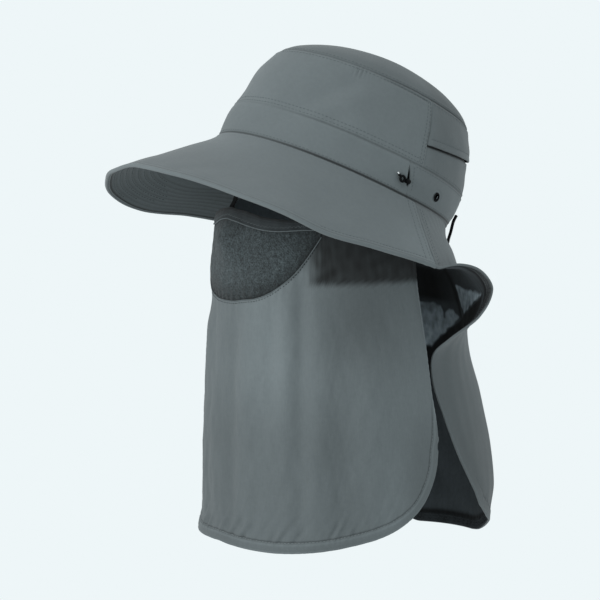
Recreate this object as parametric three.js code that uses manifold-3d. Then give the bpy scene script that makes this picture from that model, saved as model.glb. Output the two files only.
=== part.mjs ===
// Sun hat with a face cover and a neck flap, in the form it has when worn.
// Units are millimetres. +Z is up, the front of the hat faces -Y and the
// wearer's left is +X. The origin is the centre of the head opening at the
// crown's base. The crown and brim are tipped back by TIP_BACK about X, and
// the face cover and the neck flap hang straight down.
import * as THREE from 'three';
import * as BufferGeometryUtils from 'three/addons/utils/BufferGeometryUtils.js';
import Module from 'manifold-3d';

const wasm = await Module();
wasm.setup();

// ---------------------------------------------------------------- sizes
const TIP_BACK = 24.3;          // degrees, front of the hat up
const CROWN_LONG = 102;         // half length of the crown base, outside
const CROWN_WIDE = 84;          // half width of the crown base, outside
const H_BAND = 25;              // height of the base band
const H_SLOT = [60, 17];       // height of the vent slot at the back centre, and its drop at the panel's ends
const H_TIP = 77;               // height of the seam round the tip
const H_TOP = 100;              // height of the top of the crown
const SADDLE = 1.4;             // rise of the base seam at the front and back
const BACK_RISE = 2.2;          // further rise of the base seam behind the ears
const BACK_PANEL = 97;          // the back panel starts here, degrees from the front
const SLIT = 91;                // side slit in the base band, degrees from the front
const WALL = 1.8;               // crown walls, two layers of cloth
const PLY = 1.2;                // one ply of the brim
const CLOTH = 1.6;              // face cover and neck flap
const GAP = 0.3;                // between pieces that meet
const BRIM_END = 98;            // the stiff brim ends here, degrees from the front
const EDGE_W = 3.0;             // turned edge of the brim
const EYELET_AT = { deg: 111, up: 10.4 };
const EYELET = { flange: 3.3, tube: 2.1, bore: 1.4, lip: 0.8 };
const CORD_D = 2.4;             // drawcord

// crown profile: height, scale of the base oval, extra fullness at the back
const CROWN = [
  [0, 1.000, -0.090], [10, 1.000, -0.055], [25, 0.988, -0.030], [45, 0.945, -0.014],
  [60, 0.895, 0.002], [70, 0.845, 0.022], [77, 0.800, 0.044], [85, 0.716, 0.082],
  [91, 0.597, 0.120], [96, 0.440, 0.140], [99, 0.250, 0.100], [100, 0.000, 0.000],
];
// brim: degrees from the front, width, droop on the near (left) side, droop on the right side
const BRIM = [
  [0, 68, 56.0, 56.0], [15, 68, 57.0, 57.0], [30, 69, 58.2, 58.2], [45, 72, 61.0, 62.5],
  [60, 66, 61.5, 60.0], [75, 54.5, 55.0, 46.5], [90, 46, 49.0, 37.5], [98, 46, 47.0, 36.5],
];
// face cover: depth below the origin, half width, half length, edge angle over the hem's
const COVER = [
  [-22, 74, 88, 0.916], [10, 78, 92, 0.916], [40, 82, 96, 0.920], [70, 84, 98.5, 0.928],
  [110, 87, 101, 0.955], [150, 90, 103, 0.977], [185, 92, 105, 1.0], [264, 95, 107, 1.0],
];
const COVER_SQUARE = 2.25;      // exponent of the cover's plan, a little squarer than an oval
// face cover outlines: share of the half width, degrees, height
const COVER_TOP = [
  [0, 0, -13], [0.12, 12.7, -15.3], [0.24, 25, -19], [0.38, 39, -20.5], [0.52, 54, -19],
  [0.68, 70, -6], [0.84, 88, 5], [1, 99, 3],
];
const COVER_HEM = [
  [0, 0, -263], [0.15, 17, -264], [0.32, 35, -264.3], [0.46, 51.3, -262.4], [0.58, 64, -259],
  [0.70, 76.5, -253.6], [0.80, 88.3, -245], [0.88, 97.2, -234.5], [0.94, 102.7, -221.6],
  [0.975, 106.4, -206], [1, 108.1, -185],
];
// nose strip and mouth patch: degrees from the front, strip's lower edge, patch's lower edge
const PATCH = [
  [0, -20.6, -82], [7.5, -22.3, -81.6], [14.1, -24.7, -80], [22, -27.1, -78.2],
  [29.1, -28.2, -74.2], [35.7, -28.1, -67.6], [41.5, -27.4, -59.6], [46, -27, -50.5],
  [50, -27, -40.8], [54, -27, -30.5],
];
const PATCH_END = 54;           // the patch ends here, where its edge meets the strip
// neck flap: share of the height, free edge x y z, half width, back centre y z, edge angle
const FLAP = [
  [0.00,   0,   0,     0, 84,  84,  -36.0, 82], [0.12,   0,   0,    0, 86,  88,  -49, 83],
  [0.24, 131,  -4,   -50, 87,  95,   -63,  84], [0.30, 133,  18, -49.5, 87, 99,  -71, 80],
  [0.36, 127,  43,   -57, 87, 101,   -79,  73], [0.41, 116,  62,  -73, 87, 103,  -88, 68],
  [0.48, 103,  60,   -95, 87, 105,  -102,  69], [0.54,  91,  42, -112, 86, 108, -115, 74],
  [0.60,  84,  29,  -125, 86, 112,  -131,  77], [0.66, 82.5, 28, -145, 86, 117, -150, 78],
  [0.74,  83,  41,  -172, 88, 124,  -176,  71], [0.82,  82,  56, -200, 91, 131, -206, 64],
  [0.91,  75,  78,  -231, 93, 135,  -245,  55], [1.00,  61, 100, -261, 93, 134, -284, 41],
];
const FLARE = 3.2;              // how fast the flap's flare dies away from its free edge
const FLAP_BRIM = 0.24;         // the flap is sewn to the brim's end down to here

// ---------------------------------------------------------------- functions
const rad = (d) => (d * Math.PI) / 180;
const CT = Math.cos(rad(TIP_BACK)), ST = Math.sin(rad(TIP_BACK));
const tipped = (x, y, z) => new THREE.Vector3(x, y * CT + z * ST, -y * ST + z * CT);

// smooth curve through one column of a table, by its first column
function column(table, x, c) {
  const n = table.length;
  if (x <= table[0][0]) return table[0][c];
  if (x >= table[n - 1][0]) return table[n - 1][c];
  let i = 0;
  while (x > table[i + 1][0]) i++;
  const slope = (j) => {
    const a = Math.max(0, j - 1), b = Math.min(n - 1, j + 1);
    return (table[b][c] - table[a][c]) / (table[b][0] - table[a][0]);
  };
  const h = table[i + 1][0] - table[i][0], t = (x - table[i][0]) / h, t2 = t * t, t3 = t2 * t;
  return (2 * t3 - 3 * t2 + 1) * table[i][c] + (t3 - 2 * t2 + t) * slope(i) * h
    + (-2 * t3 + 3 * t2) * table[i + 1][c] + (t3 - t2) * slope(i + 1) * h;
}

// outside of the crown; deg from the front towards +X, up along the crown's axis
function crownAt(deg, up, out = 0) {
  const t = rad(deg), back = Math.max(0, -Math.cos(t)) ** 2;
  const s = column(CROWN, up, 1) + back * column(CROWN, up, 2);
  const rise = (SADDLE * Math.cos(2 * t) + BACK_RISE * Math.sqrt(back)) * Math.max(0, 1 - up / 90);
  return tipped((CROWN_WIDE * s + out) * Math.sin(t), -(CROWN_LONG * s + out) * Math.cos(t), up + rise);
}

// top of the brim; s runs from 0 at the crown to 1 at the rim
function brimAt(deg, s) {
  const t = rad(deg), a = Math.abs(deg), bow = Math.sin(Math.PI * s);
  const back = Math.max(0, -Math.cos(t)) ** 2;
  const s0 = 1 + back * CROWN[0][2];
  const out = column(BRIM, a, 1) * s + 1.5 * bow;
  const drop = column(BRIM, a, deg < 0 ? 3 : 2) * s + 2.0 * bow;
  return tipped((CROWN_WIDE * s0 + out) * Math.sin(t), -(CROWN_LONG * s0 + out) * Math.cos(t),
    (SADDLE * Math.cos(2 * t) + BACK_RISE * Math.sqrt(back)) * (1 - s) - drop);
}

// outside of the face cover at an angle from the front and a height
function coverAt(deg, z) {
  const t = rad(deg), c = Math.cos(t), s = Math.sin(t), n = COVER_SQUARE;
  const k = (Math.abs(s) ** n + Math.abs(c) ** n) ** (-1 / n);
  const ridge = 8 * Math.exp(-((deg / 13) ** 2)) * Math.exp(-(((z + 36) / 20) ** 2));
  const wide = column(COVER, -z, 1) * k, long = column(COVER, -z, 2) * k + ridge;
  return new THREE.Vector3(wide * s, -long * c, z);
}

// outside of the neck flap; t runs from 0 at the back centre to 1 at the free edge
function flapAt(t, v, side) {
  const [xe0, ye0, ze0, wide, yb, zb, ang] = [1, 2, 3, 4, 5, 6, 7].map((c) => column(FLAP, v, c));
  let e = new THREE.Vector3(xe0, ye0, ze0);
  const seam = brimAt(side * (BRIM_END + 0.75), Math.min(1, v / FLAP_BRIM));
  seam.x *= side;
  if (v <= FLAP_BRIM) e = seam;
  else {
    // the free edge leaves the brim's rim and settles on its own line
    const w = Math.max(0, 1 - (v - FLAP_BRIM) / 0.12) ** 2;
    const own = new THREE.Vector3(...[1, 2, 3].map((c) => column(FLAP.slice(2), v, c)));
    const start = new THREE.Vector3(FLAP[2][1], FLAP[2][2], FLAP[2][3]);
    e = own.add(seam.sub(start).multiplyScalar(w));
  }
  if (side < 0) e.z -= 23 * v ** 6;
  const a = rad(ang * t), q = ((1 - Math.cos(a)) / (1 - Math.cos(rad(ang)))) ** (1 + (side < 0 ? 1 : -0.25) * v ** 4);
  const bx = wide * Math.sin(rad(ang)), by = yb * Math.cos(rad(ang));
  const k = t ** FLARE;
  return new THREE.Vector3(side * (wide * Math.sin(a) + (e.x - bx) * k),
    yb * Math.cos(a) + (e.y - by) * k, zb + (e.z - zb) * q);
}

const range = (a, b, n) => Array.from({ length: n + 1 }, (_, i) => a + ((b - a) * i) / n);

// a closed mesh from vertices and triangles, turned so that its faces point out
function solid(points, tris) {
  let volume = 0;
  for (const [a, b, c] of tris) volume += points[a].dot(points[b].clone().cross(points[c]));
  const index = tris.flatMap(([a, b, c]) => (volume > 0 ? [a, b, c] : [a, c, b]));
  const g = new THREE.BufferGeometry();
  g.setAttribute('position', new THREE.Float32BufferAttribute(points.flatMap((p) => p.toArray()), 3));
  g.setIndex(index);
  return g;
}

// a cloth wall: the surface at(u, v) is its outside, and the wall lies from
// `skip` to `skip + wall` below it. `around` closes it in u.
function wallOf(at, us, vs, wall, { around = false, skip = 0, inward = 1 } = {}) {
  const nu = us.length, nv = vs.length, pts = [], tris = [];
  const du = (us[nu - 1] - us[0]) * 1e-3, dv = (vs[nv - 1] - vs[0]) * 1e-3;
  const low = (list) => Math.min(list[0], list[list.length - 1]);
  const high = (list) => Math.max(list[0], list[list.length - 1]);
  const clampTo = (list, x) => Math.min(high(list), Math.max(low(list), x));
  for (const depth of [skip, skip + wall]) {
    for (const v of vs) for (const u of us) {
      const u0 = around ? u - du : clampTo(us, u - du), u1 = around ? u + du : clampTo(us, u + du);
      const v0 = clampTo(vs, v - dv), v1 = clampTo(vs, v + dv);
      const n = at(u1, v).sub(at(u0, v)).cross(at(u, v1).sub(at(u, v0))).normalize();
      pts.push(at(u, v).addScaledVector(n, depth * inward));
    }
  }
  const id = (layer, j, i) => layer * nu * nv + j * nu + (around ? i % nu : i);
  const quad = (a, b, c, d) => { tris.push([a, b, c], [a, c, d]); };
  const last = around ? nu : nu - 1;
  for (let j = 0; j < nv - 1; j++) for (let i = 0; i < last; i++) {
    quad(id(0, j, i), id(0, j, i + 1), id(0, j + 1, i + 1), id(0, j + 1, i));
    quad(id(1, j, i), id(1, j + 1, i), id(1, j + 1, i + 1), id(1, j, i + 1));
  }
  for (let i = 0; i < last; i++) {
    quad(id(0, 0, i), id(1, 0, i), id(1, 0, i + 1), id(0, 0, i + 1));
    quad(id(0, nv - 1, i), id(0, nv - 1, i + 1), id(1, nv - 1, i + 1), id(1, nv - 1, i));
  }
  if (!around) for (let j = 0; j < nv - 1; j++) {
    quad(id(0, j, 0), id(0, j + 1, 0), id(1, j + 1, 0), id(1, j, 0));
    quad(id(0, j, nu - 1), id(1, j, nu - 1), id(1, j + 1, nu - 1), id(0, j + 1, nu - 1));
  }
  return solid(pts, tris);
}

// the crown's tip: rings that close on one point at the top
function tipCap(degs, ups, wall) {
  const pts = [], tris = [], n = degs.length, m = ups.length;
  for (const depth of [0, wall]) {
    for (const up of ups) for (const d of degs) {
      const n1 = crownAt(d + 0.5, up).sub(crownAt(d - 0.5, up))
        .cross(crownAt(d, up + 0.1).sub(crownAt(d, up - 0.1))).normalize();
      pts.push(crownAt(d, up).addScaledVector(n1, -depth));
    }
    pts.push(crownAt(0, H_TOP).addScaledVector(tipped(0, 0, 1), -depth));
  }
  const layer = n * m + 1;
  const id = (l, j, i) => l * layer + j * n + (i % n);
  for (const l of [0, 1]) {
    const push = (a, b, c) => tris.push(l ? [a, c, b] : [a, b, c]);
    for (let j = 0; j < m - 1; j++) for (let i = 0; i < n; i++) {
      push(id(l, j, i), id(l, j, i + 1), id(l, j + 1, i + 1));
      push(id(l, j, i), id(l, j + 1, i + 1), id(l, j + 1, i));
    }
    for (let i = 0; i < n; i++) push(id(l, m - 1, i), id(l, m - 1, i + 1), l * layer + n * m);
  }
  for (let i = 0; i < n; i++) {
    tris.push([id(0, 0, i), id(1, 0, i), id(1, 0, i + 1)], [id(0, 0, i), id(1, 0, i + 1), id(0, 0, i + 1)]);
  }
  return solid(pts, tris);
}

function toManifold(geometry) {
  let g = geometry.clone();
  for (const name of Object.keys(g.attributes)) if (name !== 'position') g.deleteAttribute(name);
  g = BufferGeometryUtils.mergeVertices(g, 1e-4);
  return new wasm.Manifold(new wasm.Mesh({
    numProp: 3,
    vertProperties: new Float32Array(g.attributes.position.array),
    triVerts: new Uint32Array(g.index.array),
  }));
}
function fromManifold(m) {
  const mesh = m.getMesh(), g = new THREE.BufferGeometry();
  g.setAttribute('position', new THREE.BufferAttribute(Float32Array.from(mesh.vertProperties), 3));
  g.setIndex(new THREE.BufferAttribute(Uint32Array.from(mesh.triVerts), 1));
  return g;
}

// ---------------------------------------------------------------- materials
const cloth = (color, roughness = 0.85) => new THREE.MeshStandardMaterial({ color, roughness, metalness: 0 });
const CLOTH_TOP = cloth(0x6d767a), CLOTH_SIDE = cloth(0x6a7276), UNDER = cloth(0x43494b);
const MESH_DARK = cloth(0x3b4042, 0.95), BLACK = cloth(0x151718, 0.6);
const METAL = new THREE.MeshStandardMaterial({ color: 0x1a1c1d, roughness: 0.35, metalness: 0.6 });

const hat = new THREE.Group();
function add(name, geometry, material) {
  const mesh = new THREE.Mesh(geometry, material);
  mesh.name = name;
  hat.add(mesh);
  return mesh;
}

// ---------------------------------------------------------------- crown
const STEP = 7.5, HALF = GAP / 2;
add('crown_tip', tipCap(range(0, 360 - STEP, 47), [H_TIP + HALF, 82, 87, 92, 96.3], WALL), CLOTH_TOP);
add('crown_side', wallOf((d, z) => crownAt(d, z), range(-BACK_PANEL + 0.12, BACK_PANEL - 0.12, 26),
  [H_BAND + HALF, 38, 51, 63, 71, H_TIP - HALF], WALL, { inward: -1 }), CLOTH_TOP);
// the back panel is in two parts: the upper one laps over the lower and leaves
// a vent slot, which is highest at the back centre
const LAP = 6.5, LIFT = 1.8;
const backDegs = range(BACK_PANEL + 0.12, 360 - BACK_PANEL - 0.12, 22);
const slotAt = (d) => H_SLOT[0] - H_SLOT[1] * (Math.hypot((180 - d) / (180 - BACK_PANEL), 0.12) - 0.12) / 0.8872;
const lap = (d, z) => LIFT * Math.min(1, Math.max(0, (H_TIP - z) / (H_TIP - slotAt(d) - LAP - 1.5)));
const between = (a, b, k) => a + (b - a) * k;
add('crown_back_upper', wallOf((d, k) => {
  const z = between(slotAt(d), H_TIP - HALF, k);
  return crownAt(d, z, lap(d, z));
}, backDegs, [0, 0.15, 0.32, 0.55, 0.8, 1], PLY, { inward: -1 }), CLOTH_TOP);
add('crown_back_lower', wallOf((d, k) => crownAt(d, between(H_BAND + HALF, slotAt(d) + LAP, k)),
  backDegs, [0, 0.35, 0.7, 1], PLY, { inward: -1 }), CLOTH_TOP);

// ---------------------------------------------------------------- base band
add('base_band_front', wallOf((d, z) => crownAt(d, z), range(-SLIT + 0.4, SLIT - 0.4, 24),
  [HALF, 9, 17, H_BAND - HALF], WALL, { inward: -1 }), CLOTH_TOP);
const rearBand = wallOf((d, z) => crownAt(d, z), range(SLIT + 0.4, 360 - SLIT - 0.4, 24),
  [HALF, 9, 17, H_BAND - HALF], WALL, { inward: -1 });

// frame on the crown's surface: x along the band, y up, z out
function surfaceFrame(deg, up) {
  const p = crownAt(deg, up);
  const along = crownAt(deg + 0.5, up).sub(crownAt(deg - 0.5, up)).normalize();
  const rise = crownAt(deg, up + 0.2).sub(crownAt(deg, up - 0.2)).normalize();
  const out = along.clone().cross(rise).normalize();
  const y = out.clone().cross(along).normalize();
  return new THREE.Matrix4().makeBasis(along, y, out).setPosition(p);
}
// an eyelet is a tube through the band with a flange on each side of the cloth
function eyeletProfile(flange, tube, bore, lip) {
  const inside = -WALL - 0.55, outside = 0.3;
  return [
    [bore, inside - lip * 0.8], [flange, inside - lip * 0.5], [flange, inside], [tube, inside],
    [tube, outside], [flange, outside], [flange, outside + lip * 0.5], [flange - 0.9, outside + lip],
    [bore, outside + lip * 0.8], [bore, inside - lip * 0.8],
  ].map(([r, h]) => new THREE.Vector2(r, h));
}
let band = toManifold(rearBand);
const eyelets = [];
for (const side of [1, -1]) {
  const at = surfaceFrame(side * EYELET_AT.deg, EYELET_AT.up);
  const turn = new THREE.Matrix4().makeRotationX(Math.PI / 2);
  const bore = new THREE.CylinderGeometry(EYELET.tube + GAP, EYELET.tube + GAP, 12, 12, 1);
  bore.applyMatrix4(turn).applyMatrix4(at);
  band = band.subtract(toManifold(bore));
  const e = new THREE.LatheGeometry(eyeletProfile(EYELET.flange, EYELET.tube, EYELET.bore, EYELET.lip), 12);
  e.applyMatrix4(turn).applyMatrix4(at);
  eyelets.push([side > 0 ? 'eyelet_left' : 'eyelet_right', e]);
}
add('base_band_rear', fromManifold(band), CLOTH_TOP);
for (const [name, g] of eyelets) add(name, g, METAL);

// ---------------------------------------------------------------- brim
const brimDegs = range(-BRIM_END, BRIM_END, 32);
const inEdge = (d) => 1 - EDGE_W / Math.hypot(column(BRIM, Math.abs(d), 1), column(BRIM, Math.abs(d), 2));
const share = (d, s) => brimAt(d, s * inEdge(d));
const brimRows = [0.004, 0.25, 0.5, 0.75, 1];
add('brim_top', wallOf(share, brimDegs, brimRows, PLY, { skip: GAP / 2 }), CLOTH_TOP);
add('brim_underside', wallOf(share, brimDegs, [0.02, 0.25, 0.5, 0.75, 1], PLY, { skip: GAP / 2 + PLY + GAP }), UNDER);
add('brim_edge', wallOf((d, s) => brimAt(d, inEdge(d) + 0.006 + s * (1 - inEdge(d) - 0.006)), brimDegs,
  [0, 0.6, 1], 2 * PLY + GAP, { skip: GAP / 2 }), CLOTH_SIDE);

// ---------------------------------------------------------------- neck flap
const flapRows = [0.004, 0.06, 0.12, 0.18, 0.24, 0.3, 0.36, 0.41, 0.48, 0.54, 0.6, 0.66, 0.74, 0.82, 0.91, 1];
const flapCols = [-1, -0.92, -0.84, -0.74, -0.62, -0.48, -0.32, -0.16, 0, 0.16, 0.32, 0.48, 0.62, 0.74, 0.84, 0.92, 1];
add('neck_flap', wallOf((u, v) => flapAt(Math.abs(u), v, u < 0 ? -1 : 1), flapCols, flapRows, CLOTH,
  { inward: -1, skip: GAP / 2 }), CLOTH_SIDE);

// ---------------------------------------------------------------- face cover
// u from -1 to 1 across, v from 0 at the top to 1 at the hem
function coverPoint(u, v, top) {
  const a = Math.abs(u), side = Math.sign(u) || 1;
  const hemDeg = column(COVER_HEM, a, 1), hemZ = column(COVER_HEM, a, 2);
  const z = top + (hemZ - top) * v;
  return coverAt(side * hemDeg * column(COVER, -z, 3), z);
}
const coverTopZ = (u) => column(COVER_TOP, Math.abs(u), 2);

// the cloth under the patch and the two sides are one piece; its top edge
// steps down along the patch, so it is cut from a full wall
const us = [0, 0.08, 0.17, 0.26, 0.35, 0.44, 0.52, 0.6, 0.69, 0.78, 0.86, 0.93, 0.975, 1];
const coverCols = [...us.slice(1).map((u) => -u).reverse(), ...us];
const coverRows = [0, 0.07, 0.15, 0.26, 0.4, 0.55, 0.7, 0.85, 1];
const fullCover = wallOf((u, v) => coverPoint(u, v, coverTopZ(u)), coverCols, coverRows, CLOTH, { inward: 1 });

// a block over the front whose lower outline is the patch's, for cutting the cover
function patchBlock(grow, ceiling) {
  const pts = [], tris = [], degs = range(-1, 1, 16);
  for (const r of [0.80, 1.25]) for (const top of [0, 1]) for (const s of degs) {
    const d = s * PATCH_END, low = column(PATCH, Math.abs(d), 2) - grow;
    const p = coverAt(d * (1 + grow * 0.012), low);
    pts.push(new THREE.Vector3(p.x * r, p.y * r, top ? ceiling : low));
  }
  const n = degs.length, id = (r, top, i) => (r * 2 + top) * n + i;
  const quad = (a, b, c, d) => { tris.push([a, b, c], [a, c, d]); };
  for (let i = 0; i < n - 1; i++) {
    quad(id(0, 0, i), id(0, 0, i + 1), id(0, 1, i + 1), id(0, 1, i));
    quad(id(1, 0, i + 1), id(1, 0, i), id(1, 1, i), id(1, 1, i + 1));
    quad(id(0, 1, i), id(0, 1, i + 1), id(1, 1, i + 1), id(1, 1, i));
    quad(id(0, 0, i + 1), id(0, 0, i), id(1, 0, i), id(1, 0, i + 1));
  }
  quad(id(0, 0, 0), id(0, 1, 0), id(1, 1, 0), id(1, 0, 0));
  quad(id(0, 0, n - 1), id(1, 0, n - 1), id(1, 1, n - 1), id(0, 1, n - 1));
  return toManifold(solid(pts, tris));
}
// a block above the strip's lower edge, wider than the patch
function stripBlock(drop) {
  const pts = [], tris = [], degs = range(-1, 1, 16);
  for (const r of [0.80, 1.25]) for (const top of [0, 1]) for (const s of degs) {
    const d = s * (PATCH_END + 4), low = column(PATCH, Math.min(PATCH_END, Math.abs(d)), 1) + drop;
    const p = coverAt(d, low);
    pts.push(new THREE.Vector3(p.x * r, p.y * r, top ? 20 : low));
  }
  const n = degs.length, id = (r, top, i) => (r * 2 + top) * n + i;
  const quad = (a, b, c, d) => { tris.push([a, b, c], [a, c, d]); };
  for (let i = 0; i < n - 1; i++) {
    quad(id(0, 0, i), id(0, 0, i + 1), id(0, 1, i + 1), id(0, 1, i));
    quad(id(1, 0, i + 1), id(1, 0, i), id(1, 1, i), id(1, 1, i + 1));
    quad(id(0, 1, i), id(0, 1, i + 1), id(1, 1, i + 1), id(1, 1, i));
    quad(id(0, 0, i + 1), id(0, 0, i), id(1, 0, i), id(1, 0, i + 1));
  }
  quad(id(0, 0, 0), id(0, 1, 0), id(1, 1, 0), id(1, 0, 0));
  quad(id(0, 0, n - 1), id(1, 0, n - 1), id(1, 1, n - 1), id(0, 1, n - 1));
  return toManifold(solid(pts, tris));
}
const coverSolid = toManifold(fullCover);
const largest = (m) => m.decompose().sort((a, b) => b.volume() - a.volume())[0];
const stripPart = largest(coverSolid.intersect(stripBlock(0)));
const below = coverSolid.subtract(stripBlock(-GAP));
const patchPart = largest(below.intersect(patchBlock(0, 20)));
const coverPart = largest(below.subtract(patchBlock(GAP, 20)));
add('face_cover', fromManifold(coverPart), CLOTH_SIDE);
add('mouth_mesh', fromManifold(patchPart), MESH_DARK);
add('nose_strip', fromManifold(stripPart), UNDER);

// ---------------------------------------------------------------- small parts
// a tube through points, closed at both ends
function tubeThrough(points, diameter, sides, steps) {
  const outline = new THREE.Shape(range(0, 2 * Math.PI * (1 - 1 / sides), sides - 1)
    .map((a) => new THREE.Vector2(Math.cos(a) * diameter / 2, Math.sin(a) * diameter / 2)));
  const path = new THREE.CatmullRomCurve3(points, false, 'centripetal');
  return new THREE.ExtrudeGeometry(outline, { steps, bevelEnabled: false, extrudePath: path });
}
// the strap that holds the nose strip up to the inside of the crown's front
const STRAP_W = 6, STRAP_T = 1.2;
const strapPath = [[-91.4, -19], [-91.0, -8], [-90.2, 8], [-89.2, 26], [-88.0, 40], [-85.6, 50]];
add('nose_strap', wallOf((u, v) => {
  const i = Math.min(strapPath.length - 2, Math.floor(v * (strapPath.length - 1)));
  const t = v * (strapPath.length - 1) - i, a = strapPath[i], b = strapPath[i + 1];
  return new THREE.Vector3((u * STRAP_W) / 2, a[0] + (b[0] - a[0]) * t, a[1] + (b[1] - a[1]) * t);
}, [-1, 0, 1], range(0, 1, 10), STRAP_T), BLACK);

// the drawcord's ends stick out of the side slits
const END_D = 3.4;
for (const [side, name] of [[1, 'cord_end_left'], [-1, 'cord_end_right']]) {
  const pts = [[SLIT - 0.2, 11.4, 1.2], [SLIT - 1.5, 11.4, 2.4], [SLIT - 3.2, 12, 2.6], [SLIT - 5.6, 13.2, 2.4]]
    .map(([deg, up, out]) => crownAt(side * deg, up, out));
  add(name, tubeThrough(pts, END_D * 0.8, 8, 8), BLACK);
}

// the drawcord behind the crown, from one side of the back to the other
// it leaves the band, drops over the seam and lies along the flap's top
const CORD_LAY = [  // share of the flap's half, share of its height, distance off the cloth
  [0.365, 0.062, 4.6], [0.318, 0.098, 3.2], [0.250, 0.122, 2.6],
  [0.170, 0.140, 2.6], [0.085, 0.150, 2.6], [0, 0.153, 2.6],
];
const flapOut = ([t, v, out], side) => {
  const du = flapAt(t + 0.01, v, side).sub(flapAt(t, v, side));
  const n = du.cross(flapAt(t, v + 0.01, side).sub(flapAt(t, v, side))).normalize();
  if (n.y < 0) n.negate();
  return flapAt(t, v, side).addScaledVector(n, out);
};
const half = (side) => [crownAt(side * 145.5, 10, 1.8), crownAt(side * 146.2, 5, 4.2),
  ...CORD_LAY.map((row) => flapOut(row, side))];
const cordPoints = [...half(1), ...half(-1).reverse().slice(1)];
add('rear_drawcord', tubeThrough(cordPoints, CORD_D, 8, 32), BLACK);

export default hat;
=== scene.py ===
"""Sun hat with a face cover and a neck flap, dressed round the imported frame.

Every piece repeats the functions of the CAD part (mm, +Z up, front -Y, the wearer's left +X)
on a finer grid, with seams, hems, stitches, folds and procedural cloth on it.
"""
import math

import bmesh
import bpy
import numpy as np
from mathutils import Matrix, Vector
from mathutils.bvhtree import BVHTree
from mathutils.kdtree import KDTree


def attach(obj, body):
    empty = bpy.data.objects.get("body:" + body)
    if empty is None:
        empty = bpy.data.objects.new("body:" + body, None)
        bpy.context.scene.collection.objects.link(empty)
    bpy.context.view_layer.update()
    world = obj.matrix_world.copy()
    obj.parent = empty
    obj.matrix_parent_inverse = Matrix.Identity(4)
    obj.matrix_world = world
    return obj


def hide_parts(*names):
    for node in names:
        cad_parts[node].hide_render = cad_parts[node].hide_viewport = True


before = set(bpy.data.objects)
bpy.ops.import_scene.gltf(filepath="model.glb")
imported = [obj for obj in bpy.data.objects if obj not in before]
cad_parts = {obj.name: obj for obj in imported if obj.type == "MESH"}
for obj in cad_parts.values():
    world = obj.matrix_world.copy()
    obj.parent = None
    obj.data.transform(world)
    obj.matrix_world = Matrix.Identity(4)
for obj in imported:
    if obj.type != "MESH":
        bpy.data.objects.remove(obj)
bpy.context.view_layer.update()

# ------------------------------------------------------------------ sizes, mm
TIP_BACK = math.radians(24.3)
CT, ST = math.cos(TIP_BACK), math.sin(TIP_BACK)
LONG, WIDE = 102.0, 84.0
H_BAND, H_TIP, H_TOP = 25.0, 77.0, 100.0
SLOT_TOP, SLOT_DROP = 60.0, 17.0
SADDLE, BACK_RISE = 1.4, 2.2
BACK_PANEL, SLIT = 97.0, 91.0
WALL, PLY, CLOTH, GAP = 1.8, 1.2, 1.6, 0.3
BRIM_END, EDGE_W = 98.0, 3.0
LAP, LIFT = 6.5, 1.8
PATCH_END, STRIP_END = 54.0, 58.0
CORD_D = 2.4

CROWN = np.array([
    [0, 1.000, -0.090], [10, 1.000, -0.055], [25, 0.988, -0.030], [45, 0.945, -0.014],
    [60, 0.895, 0.002], [70, 0.845, 0.022], [77, 0.800, 0.044], [85, 0.716, 0.082],
    [91, 0.597, 0.120], [96, 0.440, 0.140], [99, 0.250, 0.100], [100, 0.000, 0.000]])
# degrees from the front, width, droop on the left, droop on the right
BRIM = np.array([
    [0, 68, 56.0, 56.0], [15, 68, 57.0, 57.0], [30, 69, 58.2, 58.2], [45, 72, 61.0, 62.5],
    [60, 66, 61.5, 60.0], [75, 54.5, 55.0, 46.5], [90, 46, 49.0, 37.5], [98, 46, 47.0, 36.5]])
# depth, half width, half length, edge angle over the hem's
COVER = np.array([
    [-22, 74, 88, 0.916], [10, 78, 92, 0.916], [40, 82, 96, 0.920], [70, 84, 98.5, 0.928],
    [110, 87, 101, 0.955], [150, 90, 103, 0.977], [185, 92, 105, 1.0], [264, 95, 107, 1.0]])
# share of the half width, degrees, height
COVER_TOP = np.array([
    [0, 0, -13], [0.12, 12.7, -15.3], [0.24, 25, -19], [0.38, 39, -20.5], [0.52, 54, -19],
    [0.68, 70, -6], [0.84, 88, 5], [1, 99, 3]])
COVER_HEM = np.array([
    [0, 0, -263], [0.15, 17, -264], [0.32, 35, -264.3], [0.46, 51.3, -262.4], [0.58, 64, -259],
    [0.70, 76.5, -253.6], [0.80, 88.3, -245], [0.88, 97.2, -234.5], [0.94, 102.7, -221.6],
    [0.975, 106.4, -206], [1, 108.1, -185]])
# degrees from the front, strip's lower edge, patch's lower edge
PATCH = np.array([
    [0, -20.6, -82], [7.5, -22.3, -81.6], [14.1, -24.7, -80], [22, -27.1, -78.2],
    [29.1, -28.2, -74.2], [35.7, -28.1, -67.6], [41.5, -27.4, -59.6], [46, -27, -50.5],
    [50, -27, -40.8], [54, -27, -30.5]])
# share of the height, free edge x y z, half width, back centre y z, edge angle
FLAP = np.array([
    [0.00, 0, 0, 0, 84, 84, -36.0, 82], [0.12, 0, 0, 0, 86, 88, -49, 83],
    [0.24, 131, -4, -50, 87, 95, -63, 84], [0.30, 133, 18, -49.5, 87, 99, -71, 80],
    [0.36, 127, 43, -57, 87, 101, -79, 73], [0.41, 116, 62, -73, 87, 103, -88, 68],
    [0.48, 103, 60, -95, 87, 105, -102, 69], [0.54, 91, 42, -112, 86, 108, -115, 74],
    [0.60, 84, 29, -125, 86, 112, -131, 77], [0.66, 82.5, 28, -145, 86, 117, -150, 78],
    [0.74, 83, 41, -172, 88, 124, -176, 71], [0.82, 82, 56, -200, 91, 131, -206, 64],
    [0.91, 75, 78, -231, 93, 135, -245, 55], [1.00, 61, 100, -261, 93, 134, -284, 41]])
FLARE, FLAP_BRIM = 3.2, 0.24


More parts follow.
